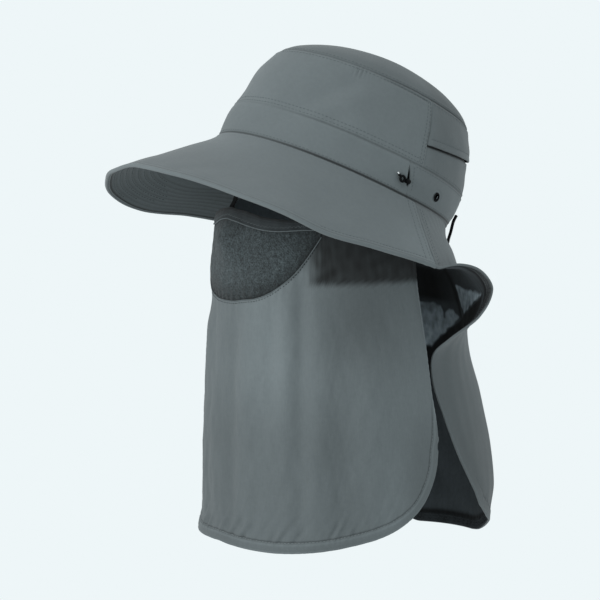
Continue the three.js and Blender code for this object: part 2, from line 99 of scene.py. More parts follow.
# ------------------------------------------------------------------ surfaces
def column(table, x, c):
    """A smooth curve through one column of a table, by its first column."""
    xs, ys = table[:, 0], table[:, c]
    slope = np.empty(len(xs))
    slope[1:-1] = (ys[2:] - ys[:-2]) / (xs[2:] - xs[:-2])
    slope[0] = (ys[1] - ys[0]) / (xs[1] - xs[0])
    slope[-1] = (ys[-1] - ys[-2]) / (xs[-1] - xs[-2])
    x = np.clip(np.asarray(x, float), xs[0], xs[-1])
    i = np.clip(np.searchsorted(xs, x, side="right") - 1, 0, len(xs) - 2)
    h = xs[i + 1] - xs[i]
    t = (x - xs[i]) / h
    t2, t3 = t * t, t * t * t
    return ((2 * t3 - 3 * t2 + 1) * ys[i] + (t3 - 2 * t2 + t) * slope[i] * h
            + (-2 * t3 + 3 * t2) * ys[i + 1] + (t3 - t2) * slope[i + 1] * h)


def tipped(x, y, z):
    return np.stack(np.broadcast_arrays(x, y * CT + z * ST, -y * ST + z * CT), -1)


def crown_at(deg, up, out=0.0):
    t = np.radians(deg)
    back = np.maximum(0, -np.cos(t)) ** 2
    s = column(CROWN, up, 1) + back * column(CROWN, up, 2)
    rise = (SADDLE * np.cos(2 * t) + BACK_RISE * np.sqrt(back)) * np.maximum(0, 1 - np.asarray(up) / 90)
    return tipped((WIDE * s + out) * np.sin(t), -(LONG * s + out) * np.cos(t), up + rise)


def brim_at(deg, s):
    deg, s = np.broadcast_arrays(np.asarray(deg, float), np.asarray(s, float))
    t, a, bow = np.radians(deg), np.abs(deg), np.sin(np.pi * s)
    back = np.maximum(0, -np.cos(t)) ** 2
    s0 = 1 + back * CROWN[0, 2]
    out = column(BRIM, a, 1) * s + 1.5 * bow
    drop = np.where(deg < 0, column(BRIM, a, 3), column(BRIM, a, 2)) * s + 2.0 * bow
    return tipped((WIDE * s0 + out) * np.sin(t), -(LONG * s0 + out) * np.cos(t),
                  (SADDLE * np.cos(2 * t) + BACK_RISE * np.sqrt(back)) * (1 - s) - drop)


def cover_at(deg, z):
    deg, z = np.broadcast_arrays(np.asarray(deg, float), np.asarray(z, float))
    t = np.radians(deg)
    c, s, n = np.cos(t), np.sin(t), 2.25
    k = (np.abs(s) ** n + np.abs(c) ** n) ** (-1 / n)
    ridge = 8 * np.exp(-((deg / 13) ** 2)) * np.exp(-(((z + 36) / 20) ** 2))
    return np.stack([column(COVER, -z, 1) * k * s, -(column(COVER, -z, 2) * k + ridge) * c, z], -1)


def cover_deg(u, z):
    """Degrees of the cover's column u at height z."""
    return np.sign(u) * column(COVER_HEM, np.abs(u), 1) * column(COVER, -z, 3)


def flap_at(t, v, side):
    t, v, side = np.broadcast_arrays(np.asarray(t, float), np.asarray(v, float), np.asarray(side, float))
    xe, ye, ze, wide, yb, zb, ang = [column(FLAP, v, c) for c in range(1, 8)]
    seam = brim_at(side * (BRIM_END + 0.75), np.minimum(1, v / FLAP_BRIM))
    seam = seam * np.stack([side, np.ones_like(side), np.ones_like(side)], -1)
    w = np.maximum(0, 1 - (v - FLAP_BRIM) / 0.12) ** 2
    own = np.stack([column(FLAP[2:], v, c) for c in (1, 2, 3)], -1)
    e = np.where((v <= FLAP_BRIM)[..., None], seam, own + (seam - FLAP[2, 1:4]) * w[..., None])
    ez = np.where(side < 0, e[..., 2] - 23 * v ** 6, e[..., 2])
    a, full = np.radians(ang * t), np.radians(ang)
    q = ((1 - np.cos(a)) / (1 - np.cos(full))) ** (1 + np.where(side < 0, 1, -0.25) * v ** 4)
    k = t ** FLARE
    return np.stack([side * (wide * np.sin(a) + (e[..., 0] - wide * np.sin(full)) * k),
                     yb * np.cos(a) + (e[..., 1] - yb * np.cos(full)) * k, zb + (ez - zb) * q], -1)


def bump(x, width):
    return np.exp(-((x / width) ** 2))


def ramp(x, low, high):
    """0 below low and 1 above high, smooth between."""
    t = np.clip((x - low) / (high - low), 0, 1)
    return t * t * (3 - 2 * t)


def waves(seed, *axes, size=40.0, terms=9):
    """A smooth random field of about -1 to 1 whose shapes are about `size` across."""
    rng = np.random.default_rng(seed)
    total = 0.0
    for _ in range(terms):
        direction = rng.normal(size=len(axes))
        direction /= np.linalg.norm(direction)
        k = 2 * np.pi / (size * rng.uniform(0.7, 1.7))
        phase = rng.uniform(0, 2 * np.pi)
        total = total + np.sin(k * sum(d * a for d, a in zip(direction, axes)) + phase)
    return total / math.sqrt(terms) / 1.3


def cell_noise(seed, points, size):
    x, y, z = points[..., 0], points[..., 1], points[..., 2]
    return waves(seed, x, y, z, size=size, terms=12)


def normals_of(P, closed=False):
    if closed:
        du = np.roll(P, -1, axis=1) - np.roll(P, 1, axis=1)
    else:
        du = np.gradient(P, axis=1)
    dv = np.gradient(P, axis=0)
    n = np.cross(du, dv)
    return n / np.maximum(np.linalg.norm(n, axis=-1, keepdims=True), 1e-9)


# ------------------------------------------------------------------ meshes
MATERIALS = {}


def mesh_object(name, points, quads, tris=None, mats=(), uv=None, face_mat=None, attrs=None, smooth=True):
    """points in mm. quads and tris are index arrays; uv and attrs are per vertex."""
    tris = np.zeros((0, 3), int) if tris is None or not len(tris) else np.asarray(tris)
    quads = np.zeros((0, 4), int) if quads is None or not len(quads) else np.asarray(quads)
    me = bpy.data.meshes.new(name)
    me.vertices.add(len(points))
    me.vertices.foreach_set("co", (np.asarray(points, np.float64) * 0.001).astype(np.float32).ravel())
    loops = np.concatenate([quads.ravel(), tris.ravel()]).astype(np.int32)
    me.loops.add(len(loops))
    me.loops.foreach_set("vertex_index", loops)
    starts = np.concatenate([np.arange(len(quads)) * 4, len(quads) * 4 + np.arange(len(tris)) * 3]).astype(np.int32)
    me.polygons.add(len(starts))
    me.polygons.foreach_set("loop_start", starts)
    if face_mat is not None:
        me.polygons.foreach_set("material_index", np.asarray(face_mat, np.int32))
    if uv is not None:
        layer = me.uv_layers.new(name="uv")
        layer.data.foreach_set("uv", np.asarray(uv, np.float32)[loops].ravel())
    for key, values in (attrs or {}).items():
        a = me.attributes.new(key, "FLOAT", "POINT")
        a.data.foreach_set("value", np.asarray(values, np.float32))
    for m in mats:
        me.materials.append(MATERIALS[m])
    me.update(calc_edges=True)
    me.validate()
    me.shade_smooth() if smooth else me.shade_flat()
    ob = bpy.data.objects.new(name, me)
    bpy.context.scene.collection.objects.link(ob)
    return ob


def loop_of(rows, cols, closed):
    """The border of a grid as lists of (row, column), each walked once."""
    if closed:
        return [[(0, i) for i in range(cols)], [(rows - 1, i) for i in range(cols)][::-1]]
    line = [(0, i) for i in range(cols)] + [(j, cols - 1) for j in range(1, rows)]
    line += [(rows - 1, i) for i in range(cols - 2, -1, -1)] + [(j, 0) for j in range(rows - 2, 0, -1)]
    return [line]


def shell(name, P, wall, mats, closed=False, flip=False, rim=4, tone=None, tone_in=None, uv=None,
          inner_mat=1, inner_hem=None, bulge=0.42, inner=None):
    """A closed sheet of cloth. P (rows, columns, 3) in mm is its outside and the cloth lies
    `wall` below it; the border is rounded over. tone is a shade factor per point."""
    rows, cols = P.shape[:2]
    N = normals_of(P, closed) * (-1 if flip else 1)
    wall = np.broadcast_to(np.asarray(wall, float), (rows, cols))
    Q = P - N * wall[..., None] if inner is None else inner
    if uv is None:
        step_u = np.linalg.norm(np.diff(P, axis=1), axis=-1)
        U = np.concatenate([np.zeros((rows, 1)), np.cumsum(step_u, axis=1)], axis=1)
        U -= U[:, cols // 2][:, None]
        step_v = np.linalg.norm(np.diff(P, axis=0), axis=-1)
        V = np.concatenate([np.zeros((1, cols)), np.cumsum(step_v, axis=0)], axis=0)
        uv = np.stack([U, V], -1)
    tone = np.ones((rows, cols)) if tone is None else np.broadcast_to(tone, (rows, cols))
    tone_in = tone if tone_in is None else np.broadcast_to(tone_in, (rows, cols))
    points = [P.reshape(-1, 3), Q.reshape(-1, 3)]
    uvs = [uv.reshape(-1, 2), uv.reshape(-1, 2)]
    tones = [tone.ravel(), tone_in.ravel()]
    n = rows * cols
    j, i = np.meshgrid(np.arange(rows - 1), np.arange(cols if closed else cols - 1), indexing="ij")
    i2 = (i + 1) % cols
    a, b, c, d = j * cols + i, j * cols + i2, (j + 1) * cols + i2, (j + 1) * cols + i
    out = np.stack([a, b, c, d], -1).reshape(-1, 4)
    if flip:
        out = out[:, ::-1]
    inn = (out + n)[:, ::-1]
    quads, face = [out, inn], [np.zeros(len(out), int)]
    if inner_hem is None:
        face.append(np.full(len(inn), inner_mat))
    else:
        m = inner_hem[j, i].ravel()
        face.append(np.where(m, 0, inner_mat))
    count = 2 * n
    flatP, flatQ, flatN = points[0], points[1], N.reshape(-1, 3)
    for line in loop_of(rows, cols, closed):
        ids = np.array([r * cols + c0 for r, c0 in line])
        k = len(ids)
        along = np.roll(flatP[ids], -1, axis=0) - np.roll(flatP[ids], 1, axis=0)
        away = np.cross(along, flatN[ids])
        centre = np.array([P[min(max(r, 1), rows - 2), c0 if closed else min(max(c0, 1), cols - 2)] for r, c0 in line])
        if not closed or True:
            sign = np.sign(((flatP[ids] - centre) * away).sum(-1, keepdims=True))
            sign[sign == 0] = 1
            away = away * (1 if sign.sum() >= 0 else -1)
        away /= np.maximum(np.linalg.norm(away, axis=-1, keepdims=True), 1e-9)
        mid, half = (flatP[ids] + flatQ[ids]) / 2, (flatP[ids] - flatQ[ids]) / 2
        size = np.linalg.norm(half, axis=-1, keepdims=True)
        ring_ids = [ids]
        for s in range(1, rim):
            th = math.pi * s / rim
            points.append(mid + half * math.cos(th) + away * size * math.sin(th) * bulge * 2)
            uvs.append(uv.reshape(-1, 2)[ids] + [0.0, 0.6 * s])
            tones.append(tone.ravel()[ids])
            ring_ids.append(np.arange(count, count + k))
            count += k
        ring_ids.append(ids + n)
        for r0, r1 in zip(ring_ids, ring_ids[1:]):
            q = np.stack([r0, r1, np.roll(r1, -1), np.roll(r0, -1)], -1)
            if flip:
                q = q[:, ::-1]
            quads.append(q)
            face.append(np.zeros(len(q), int))
    ob = mesh_object(name, np.concatenate(points), np.concatenate(quads), mats=mats, uv=np.concatenate(uvs),
                     face_mat=np.concatenate(face), attrs={"tone": np.concatenate(tones)})
    return ob


def tree_of(ob):
    me = ob.data
    co = np.zeros(len(me.vertices) * 3, np.float32)
    me.vertices.foreach_get("co", co)
    return BVHTree.FromPolygons((co.reshape(-1, 3) * 1000.0).tolist(), [tuple(p.vertices) for p in me.polygons])


def resample(line, pitch, closed=False):
    line = np.asarray(line, float)
    if closed:
        line = np.vstack([line, line[:1]])
    seg = np.linalg.norm(np.diff(line, axis=0), axis=1)
    run = np.concatenate([[0], np.cumsum(seg)])
    count = max(2, int(round(run[-1] / pitch)))
    at = (np.arange(count) + 0.5) * run[-1] / count if closed else np.linspace(0, run[-1], count + 1)
    return np.stack([np.interp(at, run, line[:, c]) for c in range(3)], -1), run[-1]


STITCHES = {}


def stitch_line(group, tree, line, pitch=3.0, length=2.2, thick=0.42, sink=0.16, closed=False, zigzag=0.0, skip=0.0,
                side=None):
    """Adds a row of stitches that lie on the cloth of `tree` along `line`. `side` is a rough
    outward direction per row, which picks the layer of the sheet that the row is sewn on."""
    fine, total = resample(line, 0.5, closed)
    if skip:
        fine = fine[int(skip / 0.5):]
    run = np.concatenate([[0], np.cumsum(np.linalg.norm(np.diff(fine, axis=0), axis=1))])
    count = int(run[-1] / pitch)
    if count < 1:
        return
    starts = (np.arange(count) + 0.2) * pitch
    verts, quads = STITCHES.setdefault(group, [[], []])
    base = sum(len(v) for v in verts)
    shares = np.array([0.0, 0.3, 0.7, 1.0])
    lifts = np.array([-1.25, 0.0, 0.0, -1.25]) * thick * 0.5
    sides = 5
    for n, s in enumerate(starts):
        at = s + shares * length
        mids = np.stack([np.interp(at, run, fine[:, c]) for c in range(3)], -1)
        ahead = mids[-1] - mids[0]
        size = np.linalg.norm(ahead)
        if size < 1e-6:
            continue
        ahead /= size
        probe = mids[1] * 0.5 + mids[2] * 0.5
        if side is not None:
            probe = probe + np.asarray(side) * 0.9
        near, normal, _, _ = tree.find_nearest(Vector(probe))
        if near is None:
            continue
        normal = np.array(normal)
        across = np.cross(normal, ahead)
        across /= max(np.linalg.norm(across), 1e-9)
        offset = np.array(near) - probe
        offset = normal * (offset @ normal)
        if side is not None:
            mids = mids + np.asarray(side) * 0.9
        mids = mids + offset
        if zigzag:
            swing = zigzag * (1 if n % 2 else -1)
            mids = mids + np.outer(np.linspace(-swing, swing, 4), across)
        ring = []
        for m, lift in zip(mids, lifts):
            c = m + normal * (thick * 0.5 - sink + lift)
            for q in range(sides):
                a = 2 * math.pi * q / sides
                ring.append(c + (across * math.cos(a) + normal * math.sin(a)) * thick * 0.5)
        verts.append(np.array(ring))
        idx = []
        for r in range(3):
            for q in range(sides):
                idx.append([base + r * sides + q, base + r * sides + (q + 1) % sides,
                            base + (r + 1) * sides + (q + 1) % sides, base + (r + 1) * sides + q])
        quads.append(idx)
        base += len(ring)


def sweep(name, line, radius, mats, sides=8, tone=None, twist=0.0, flat=1.0, up=None):
    """A closed tube along a line in mm, with uv in mm. radius may vary along it."""
    line = np.asarray(line, float)
    k = len(line)
    radius = np.broadcast_to(np.asarray(radius, float), (k,))
    tangent = np.gradient(line, axis=0)
    tangent /= np.linalg.norm(tangent, axis=1, keepdims=True)
    first = np.array([0, 0, 1.0]) if up is None else np.asarray(up, float)
    if abs(first @ tangent[0]) > 0.95:
        first = np.array([1.0, 0, 0])
    x = np.cross(first, tangent[0])
    frames = []
    for t in tangent:
        x = x - t * (x @ t)
        x /= np.linalg.norm(x)
        frames.append((x, np.cross(t, x)))
    run = np.concatenate([[0], np.cumsum(np.linalg.norm(np.diff(line, axis=0), axis=1))])
    pts, uv = [], []
    for n in range(k):
        for q in range(sides):
            a = 2 * math.pi * q / sides + twist * run[n]
            pts.append(line[n] + (frames[n][0] * math.cos(a) + frames[n][1] * math.sin(a) * flat) * radius[n])
            uv.append([run[n], radius[n] * 2 * math.pi * q / sides])
    quads = []
    for n in range(k - 1):
        for q in range(sides):
            quads.append([n * sides + q, n * sides + (q + 1) % sides, (n + 1) * sides + (q + 1) % sides, (n + 1) * sides + q])
    c0, c1 = len(pts), len(pts) + 1
    pts += [line[0] - tangent[0] * radius[0] * 0.3, line[-1] + tangent[-1] * radius[-1] * 0.3]
    uv += [[0, 0], [run[-1], 0]]
    tris = [[c0, (q + 1) % sides, q] for q in range(sides)]
    tris += [[c1, (k - 1) * sides + q, (k - 1) * sides + (q + 1) % sides] for q in range(sides)]
    attrs = {"tone": np.ones(len(pts)) if tone is None else np.full(len(pts), tone)}
    return mesh_object(name, pts, quads, tris, mats=mats, uv=uv, attrs=attrs)


def through(points, steps):
    """A centripetal Catmull-Rom curve through points."""
    p = [np.asarray(q, float) for q in points]
    p = [2 * p[0] - p[1]] + p + [2 * p[-1] - p[-2]]
    out = []
    for i in range(1, len(p) - 2):
        p0, p1, p2, p3 = p[i - 1:i + 3]
        t0 = 0.0
        t1 = t0 + np.linalg.norm(p1 - p0) ** 0.5
        t2 = t1 + np.linalg.norm(p2 - p1) ** 0.5
        t3 = t2 + np.linalg.norm(p3 - p2) ** 0.5
        for t in np.linspace(t1, t2, steps, endpoint=False):
            a1 = (t1 - t) / (t1 - t0) * p0 + (t - t0) / (t1 - t0) * p1
            a2 = (t2 - t) / (t2 - t1) * p1 + (t - t1) / (t2 - t1) * p2
            a3 = (t3 - t) / (t3 - t2) * p2 + (t - t2) / (t3 - t2) * p3
            b1 = (t2 - t) / (t2 - t0) * a1 + (t - t0) / (t2 - t0) * a2
            b2 = (t3 - t) / (t3 - t1) * a2 + (t - t1) / (t3 - t1) * a3
            out.append((t2 - t) / (t2 - t1) * b1 + (t - t1) / (t2 - t1) * b2)
    out.append(p[-2])
    return np.array(out)


# ------------------------------------------------------------------ materials
def srgb(r, g, b):
    def one(c):
        c /= 255
        return c / 12.92 if c <= 0.04045 else ((c + 0.055) / 1.055) ** 2.4
    return (one(r), one(g), one(b), 1.0)


class Graph:
    def __init__(self, name):
        self.mat = bpy.data.materials.new(name)
        self.mat.use_nodes = True
        self.nodes, self.links = self.mat.node_tree.nodes, self.mat.node_tree.links
        self.nodes.clear()
        self.out = self.nodes.new("ShaderNodeOutputMaterial")
        self.bsdf = self.nodes.new("ShaderNodeBsdfPrincipled")
        self.links.new(self.bsdf.outputs[0], self.out.inputs[0])

    def node(self, kind, **inputs):
        n = self.nodes.new(kind)
        for key, value in inputs.items():
            setattr(n, key, value)
        return n

    def put(self, value, socket):
        if hasattr(value, "default_value") or hasattr(value, "is_output"):
            self.links.new(value, socket)
        else:
            socket.default_value = value

    def math(self, op, a, b=0.0, c=None):
        n = self.node("ShaderNodeMath", operation=op)
        self.put(a, n.inputs[0])
        self.put(b, n.inputs[1])
        if c is not None:
            self.put(c, n.inputs[2])
        return n.outputs[0]

    def noise(self, vector, scale, detail=2.0, rough=0.5):
        n = self.node("ShaderNodeTexNoise")
        self.put(vector, n.inputs["Vector"])
        n.inputs["Scale"].default_value = scale
        n.inputs["Detail"].default_value = detail
        n.inputs["Roughness"].default_value = rough
        return n.outputs["Fac"] if "Fac" in n.outputs else n.outputs[0]

    def spread(self, value, low, high, a, b):
        n = self.node("ShaderNodeMapRange")
        n.clamp = True
        self.put(value, n.inputs[0])
        n.inputs[1].default_value, n.inputs[2].default_value = low, high
        n.inputs[3].default_value, n.inputs[4].default_value = a, b
        return n.outputs[0]

    def scaled(self, colour, factor):
        n = self.node("ShaderNodeVectorMath", operation="SCALE")
        self.put(colour, n.inputs[0])
        self.put(factor, n.inputs[3])
        return n.outputs[0]

    def bump(self, height, strength, distance, normal=None):
        n = self.node("ShaderNodeBump")
        n.inputs["Strength"].default_value = strength
        n.inputs["Distance"].default_value = distance
        self.put(height, n.inputs["Height"])
        if normal is not None:
            self.links.new(normal, n.inputs["Normal"])
        return n.outputs[0]


def woven(name, colour, pitch=0.55, weave=0.35, mottle=0.06, rough=0.82, sheen=0.12, twill=False, crinkle=0.25,
          streak=0.0, specular=0.28, depth=0.00006, knit=False, grain=0.0):
    """Procedural cloth. uv is in mm; pitch is the threads' spacing."""
    g = Graph(name)
    uv = g.node("ShaderNodeUVMap", uv_map="uv").outputs[0]
    split = g.node("ShaderNodeSeparateXYZ")
    g.links.new(uv, split.inputs[0])
    u, v = split.outputs[0], split.outputs[1]
    place = g.node("ShaderNodeTexCoord").outputs["Object"]
    k = 2 * math.pi / pitch
    if knit:
        # courses of loops: each row of holes is shifted by half a loop
        row = g.math("FLOOR", g.math("DIVIDE", v, pitch * 0.82))
        shift = g.math("MULTIPLY", g.math("MODULO", row, 2.0), pitch * 0.5)
        su = g.math("COSINE", g.math("MULTIPLY", g.math("ADD", u, shift), k))
        sv = g.math("COSINE", g.math("MULTIPLY", v, 2 * math.pi / (pitch * 0.82)))
        height = g.math("MULTIPLY", g.math("ADD", su, 1.0), g.math("ADD", sv, 1.0))
        height = g.math("MULTIPLY", height, 0.25)
        height = g.math("SUBTRACT", 1.0, height)
    elif twill:
        height = g.math("SINE", g.math("ADD", g.math("MULTIPLY", u, k), g.math("MULTIPLY", v, k)))
        height = g.math("MULTIPLY_ADD", height, 0.5, 0.5)
    else:
        height = g.math("MULTIPLY", g.math("SINE", g.math("MULTIPLY", u, k)), g.math("SINE", g.math("MULTIPLY", v, k)))
        height = g.math("MULTIPLY_ADD", height, 0.5, 0.5)
    tone = g.node("ShaderNodeAttribute", attribute_name="tone").outputs["Fac"]
    big = g.spread(g.noise(place, 22.0, 3.0, 0.55), 0.3, 0.7, 1 - mottle, 1 + mottle)
    small = g.spread(g.noise(place, 330.0, 2.0, 0.6), 0.3, 0.7, 1 - mottle * 0.9, 1 + mottle * 0.9)
    thread = g.spread(height, 0.0, 1.0, 1 - (0.34 if knit else 0.10), 1 + (0.20 if knit else 0.05))
    factor = g.math("MULTIPLY", g.math("MULTIPLY", big, small), g.math("MULTIPLY", thread, tone))
    if grain:
        fine = g.spread(g.noise(place, 780.0, 3.0, 0.7), 0.34, 0.66, 1 - grain, 1 + grain)
        factor = g.math("MULTIPLY", factor, fine)
    if streak:
        stretched = g.node("ShaderNodeMapping")
        g.links.new(uv, stretched.inputs["Vector"])
        stretched.inputs["Scale"].default_value = (0.9, 0.10, 1.0)
        lines = g.spread(g.noise(stretched.outputs[0], 1.0, 3.0, 0.65), 0.32, 0.68, 1 - streak, 1 + streak)
        factor = g.math("MULTIPLY", factor, lines)
    base = g.node("ShaderNodeRGB")
    base.outputs[0].default_value = colour
    g.links.new(g.scaled(base.outputs[0], factor), g.bsdf.inputs["Base Color"])
    g.bsdf.inputs["Roughness"].default_value = rough
    g.bsdf.inputs["Specular IOR Level"].default_value = specular
    g.bsdf.inputs["Sheen Weight"].default_value = sheen
    g.bsdf.inputs["Sheen Roughness"].default_value = 0.55
    first = g.bump(height, weave, depth)
    rumple = g.noise(place, 150.0, 3.0, 0.55)
    second = g.bump(rumple, crinkle, 0.0011, first)
    broad = g.noise(place, 42.0, 2.0, 0.5)
    third = g.bump(broad, crinkle, 0.0030, second)
    g.links.new(third, g.bsdf.inputs["Normal"])
    MATERIALS[name] = g.mat
    return g.mat


def plain(name, colour, rough=0.5, metallic=0.0, specular=0.5, braid=0.0):
    g = Graph(name)
    g.bsdf.inputs["Roughness"].default_value = rough
    g.bsdf.inputs["Metallic"].default_value = metallic
    g.bsdf.inputs["Specular IOR Level"].default_value = specular
    place = g.node("ShaderNodeTexCoord").outputs["Object"]
    tone = g.node("ShaderNodeAttribute", attribute_name="tone").outputs["Fac"]
    grain = g.spread(g.noise(place, 900.0, 2.0, 0.5), 0.3, 0.7, 0.85, 1.15)
    base = g.node("ShaderNodeRGB")
    base.outputs[0].default_value = colour
    if braid:
        uv = g.node("ShaderNodeUVMap", uv_map="uv").outputs[0]
        split = g.node("ShaderNodeSeparateXYZ")
        g.links.new(uv, split.inputs[0])
        k = 2 * math.pi / braid
        one = g.math("SINE", g.math("MULTIPLY", g.math("ADD", split.outputs[0], split.outputs[1]), k))
        two = g.math("SINE", g.math("MULTIPLY", g.math("SUBTRACT", split.outputs[0], split.outputs[1]), k))
        h = g.math("MULTIPLY_ADD", g.math("MULTIPLY", one, two), 0.5, 0.5)
        g.links.new(g.bump(h, 0.8, 0.0002), g.bsdf.inputs["Normal"])
        grain = g.math("MULTIPLY", grain, g.spread(h, 0, 1, 0.6, 1.5))
    g.links.new(g.scaled(base.outputs[0], g.math("MULTIPLY", grain, tone)), g.bsdf.inputs["Base Color"])
    MATERIALS[name] = g.mat
    return g.mat


woven("grey_cloth", srgb(92, 99, 101), pitch=0.6, weave=0.30, mottle=0.035, rough=0.80, sheen=0.10, crinkle=0.10)
woven("cover_cloth", srgb(92, 99, 101), pitch=0.7, weave=0.30, mottle=0.035, rough=0.86, sheen=0.08, crinkle=0.16,
      streak=0.035)
# a twill for the brim's underside and inner faces, darker than the grey cloth by painted shade
woven("under_cloth", srgb(74, 81, 83), pitch=0.6, weave=0.35, mottle=0.06, rough=0.88, sheen=0.06, twill=True,
      crinkle=0.12)
# a darker copy of the grey cloth for the inner faces: its darkness is painted shade
woven("shaded_inside_cloth", srgb(50, 55, 58), pitch=0.7, weave=0.35, mottle=0.08, rough=0.9, sheen=0.02, crinkle=0.15,
      streak=0.08, specular=0.18)
woven("mesh_knit", srgb(49, 56, 58), pitch=1.35, weave=0.8, mottle=0.22, rough=0.92, sheen=0.08, crinkle=0.25, grain=0.62,
      knit=True, depth=0.0003)
woven("strip_cloth", srgb(41, 46, 48), pitch=0.7, weave=0.4, mottle=0.12, grain=0.12, rough=0.9, sheen=0.06, crinkle=0.15)
woven("black_tape", srgb(10, 11, 12), pitch=0.8, weave=0.7, mottle=0.1, rough=0.9, specular=0.12, sheen=0.0, crinkle=0.05)
plain("thread_light", srgb(106, 113, 115), rough=0.7, specular=0.3)
plain("thread_mid", srgb(74, 81, 83), rough=0.75, specular=0.3)
plain("thread_soft", srgb(83, 90, 92), rough=0.75, specular=0.3)
plain("thread_dark", srgb(34, 38, 40), rough=0.8, specular=0.2)
plain("thread_under", srgb(54, 59, 61), rough=0.8, specular=0.15)
plain("thread_inner", srgb(46, 50, 52), rough=0.9, specular=0.08)
plain("piping_light", srgb(80, 87, 89), rough=0.7, specular=0.3)
plain("black_cord", srgb(9, 10, 11), rough=0.62, specular=0.07, braid=1.15)
plain("black_metal", srgb(8, 9, 10), rough=0.42, metallic=0.0, specular=0.05)
plain("black_hole", srgb(6, 7, 8), rough=1.0, specular=0.0)
# a whitish colour for the cord's tip: a painted glint
plain("glint_bead", srgb(205, 208, 209), rough=0.35, specular=0.5)


def settle(ob, nodes=()):
    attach(ob, "root")
    if nodes:
        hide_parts(*nodes)
    return ob


# ------------------------------------------------------------------ rear cord first
CORD_LAY = [(0.372, 0.040, 3.2), (0.325, 0.074, 1.6), (0.250, 0.108, 1.9),
            (0.170, 0.132, 2.3), (0.085, 0.146, 2.6), (0.0, 0.150, 2.6)]


def flap_out(t, v, off, side):
    p = flap_at(t, v, side)
    n = np.cross(flap_at(t + 0.01, v, side) - p, flap_at(t, v + 0.01, side) - p)
    n /= np.linalg.norm(n)
    return p + (n if n[1] > 0 else -n) * off


def cord_half(side):
    return [crown_at(side * 145.5, 10.0, 1.8), crown_at(side * 146.2, 5.0, 2.2)] + [
        flap_out(t, v, off, side) for t, v, off in CORD_LAY]


cord_line = through(cord_half(1) + cord_half(-1)[::-1][1:], 14)
rear_cord = sweep("rear_cord", cord_line, CORD_D / 2, ["black_cord"], sides=14)
settle(rear_cord, ["rear_drawcord"])


# ------------------------------------------------------------------ crown
def seam_dip(x, pucker=0.0):
    """The section across a sewn seam at x = 0: a groove with a soft roll on each side."""
    return -0.75 * bump(x, 0.75) + 0.28 * (bump(x - 1.9, 1.3) + bump(x + 1.9, 1.3))


def crown_folds(deg, up):
    """Dents, tucks and slackness of the crown's cloth, in mm outwards."""
    deg = (np.asarray(deg, float) + 180) % 360 - 180
    d = 0.55 * waves(11, deg * 1.6, up, size=62) + 0.16 * waves(12, deg * 1.6, up, size=19)
    # the pinched place on the left of the front: a soft diagonal valley and its two ridges
    along = (deg - 46) * 0.85 + (up - 50) * -0.55
    across = (deg - 46) * 0.62 + (up - 50) * 0.78
    inside = bump(along, 15) * bump(across, 24)
    d = d - 2.1 * bump(along + 1.0, 6.0) * bump(across, 20) + 1.3 * bump(along - 9, 6) * bump(across + 2, 18)
    d = d - 0.5 * inside
    d = d - 1.3 * bump(deg - 51, 7) * bump(up - 31, 6) + 0.5 * bump(deg - 63, 8) * bump(up - 36, 8)
    # three tucks under the tip's seam
    d = d + 0.75 * np.sin((deg - 50 + (up - 74) * 0.12) * 2 * np.pi / 2.3) * bump(deg - 52.5, 3.6) * bump(up - 73, 4.5)
    # a crease that runs along under the tip's seam at the side
    side = ramp(deg, 64, 72) * (1 - ramp(deg, 92, 96))
    d = d - 0.9 * bump(up - 75.0 + (deg - 71) * 0.03, 0.8) * side + 0.45 * bump(up - 72.4, 1.6) * side
    # the same slackness, weaker, on the right
    d = d - 0.9 * bump(deg + 58, 13) * bump(up - 52, 17) + 0.5 * bump(deg + 38, 9) * bump(up - 40, 15)
    return d


def seam_puckers(deg, up, line, reach=3.2, size=0.16, pitch=5.2):
    arc = np.asarray(deg) * 1.62
    return size * np.sin(arc * 2 * np.pi / pitch + 1.3 * np.sin(arc * 0.21)) * bump(up - line, reach)


def crown_surface(deg, up, out=0.0, extra=0.0):
    d = crown_folds(deg, up) * ramp(up, 3, 16) * (1 - ramp(up, 84, 97))
    a = np.abs((np.asarray(deg, float) + 180) % 360 - 180)
    at_band, at_tip = 0.16 + 0.42 * ramp(a, 20, 48), 0.42 + 0.48 * ramp(a, 55, 76)
    d = d + seam_dip(up - H_BAND) * at_band + seam_dip(up - H_TIP) * at_tip
    turned = lambda centre: (np.asarray(deg, float) - centre + 180) % 360 - 180
    d = d - 1.2 * bump(turned(137), 26) * bump(up - 88, 6) - 2.3 * bump(turned(-26), 26) * bump(up - 36, 15)
    high = 1.9 * bump(turned(82), 50) * bump(up - 95.5, 5.5) - 0.9 * bump(turned(-6), 28) * bump(up - 87, 7)
    d = d + seam_puckers(deg, up, H_BAND + 2) * at_band + seam_puckers(deg, up, H_TIP - 2, pitch=4.6) * at_tip * 1.3
    return crown_at(deg, up, out + d + extra) + tipped(0, 0, high)


def crown_tone(deg, up):
    """Painted shade on the crown's cloth: darker in its seams, in the crease under the tip's seam, on the back and a
    little at the front, with a painted highlight on the roll below the band seam.
    """
    a = np.abs((np.asarray(deg, float) + 180) % 360 - 180)
    at_band, at_tip = 0.16 + 0.42 * ramp(a, 20, 48), 0.42 + 0.48 * ramp(a, 55, 76)
    t = (1 - 0.55 * at_band * bump(up - H_BAND, 0.8)) * (1 - 0.45 * at_tip * bump(up - H_TIP, 0.8))
    wrapped = (np.asarray(deg, float) + 180) % 360 - 180
    t = t * (1 - 0.30 * bump(up - 75.0 + (wrapped - 71) * 0.03, 0.8) * ramp(wrapped, 64, 72) * (1 - ramp(wrapped, 92, 96)))
    t = t * (1 - 0.70 * bump(up, 0.7)) * (1 - 0.85 * ramp(a, 18, 60) * bump(up - 0.2, 0.8)) * (1 + 0.07 * at_band * bump(up - H_BAND + 1.9, 0.9))
    return t * (1 - 0.22 * ramp(a, 92, 104) * ramp(up, H_BAND - 4, H_BAND + 4)) * (1 - 0.05 * bump(a, 45))


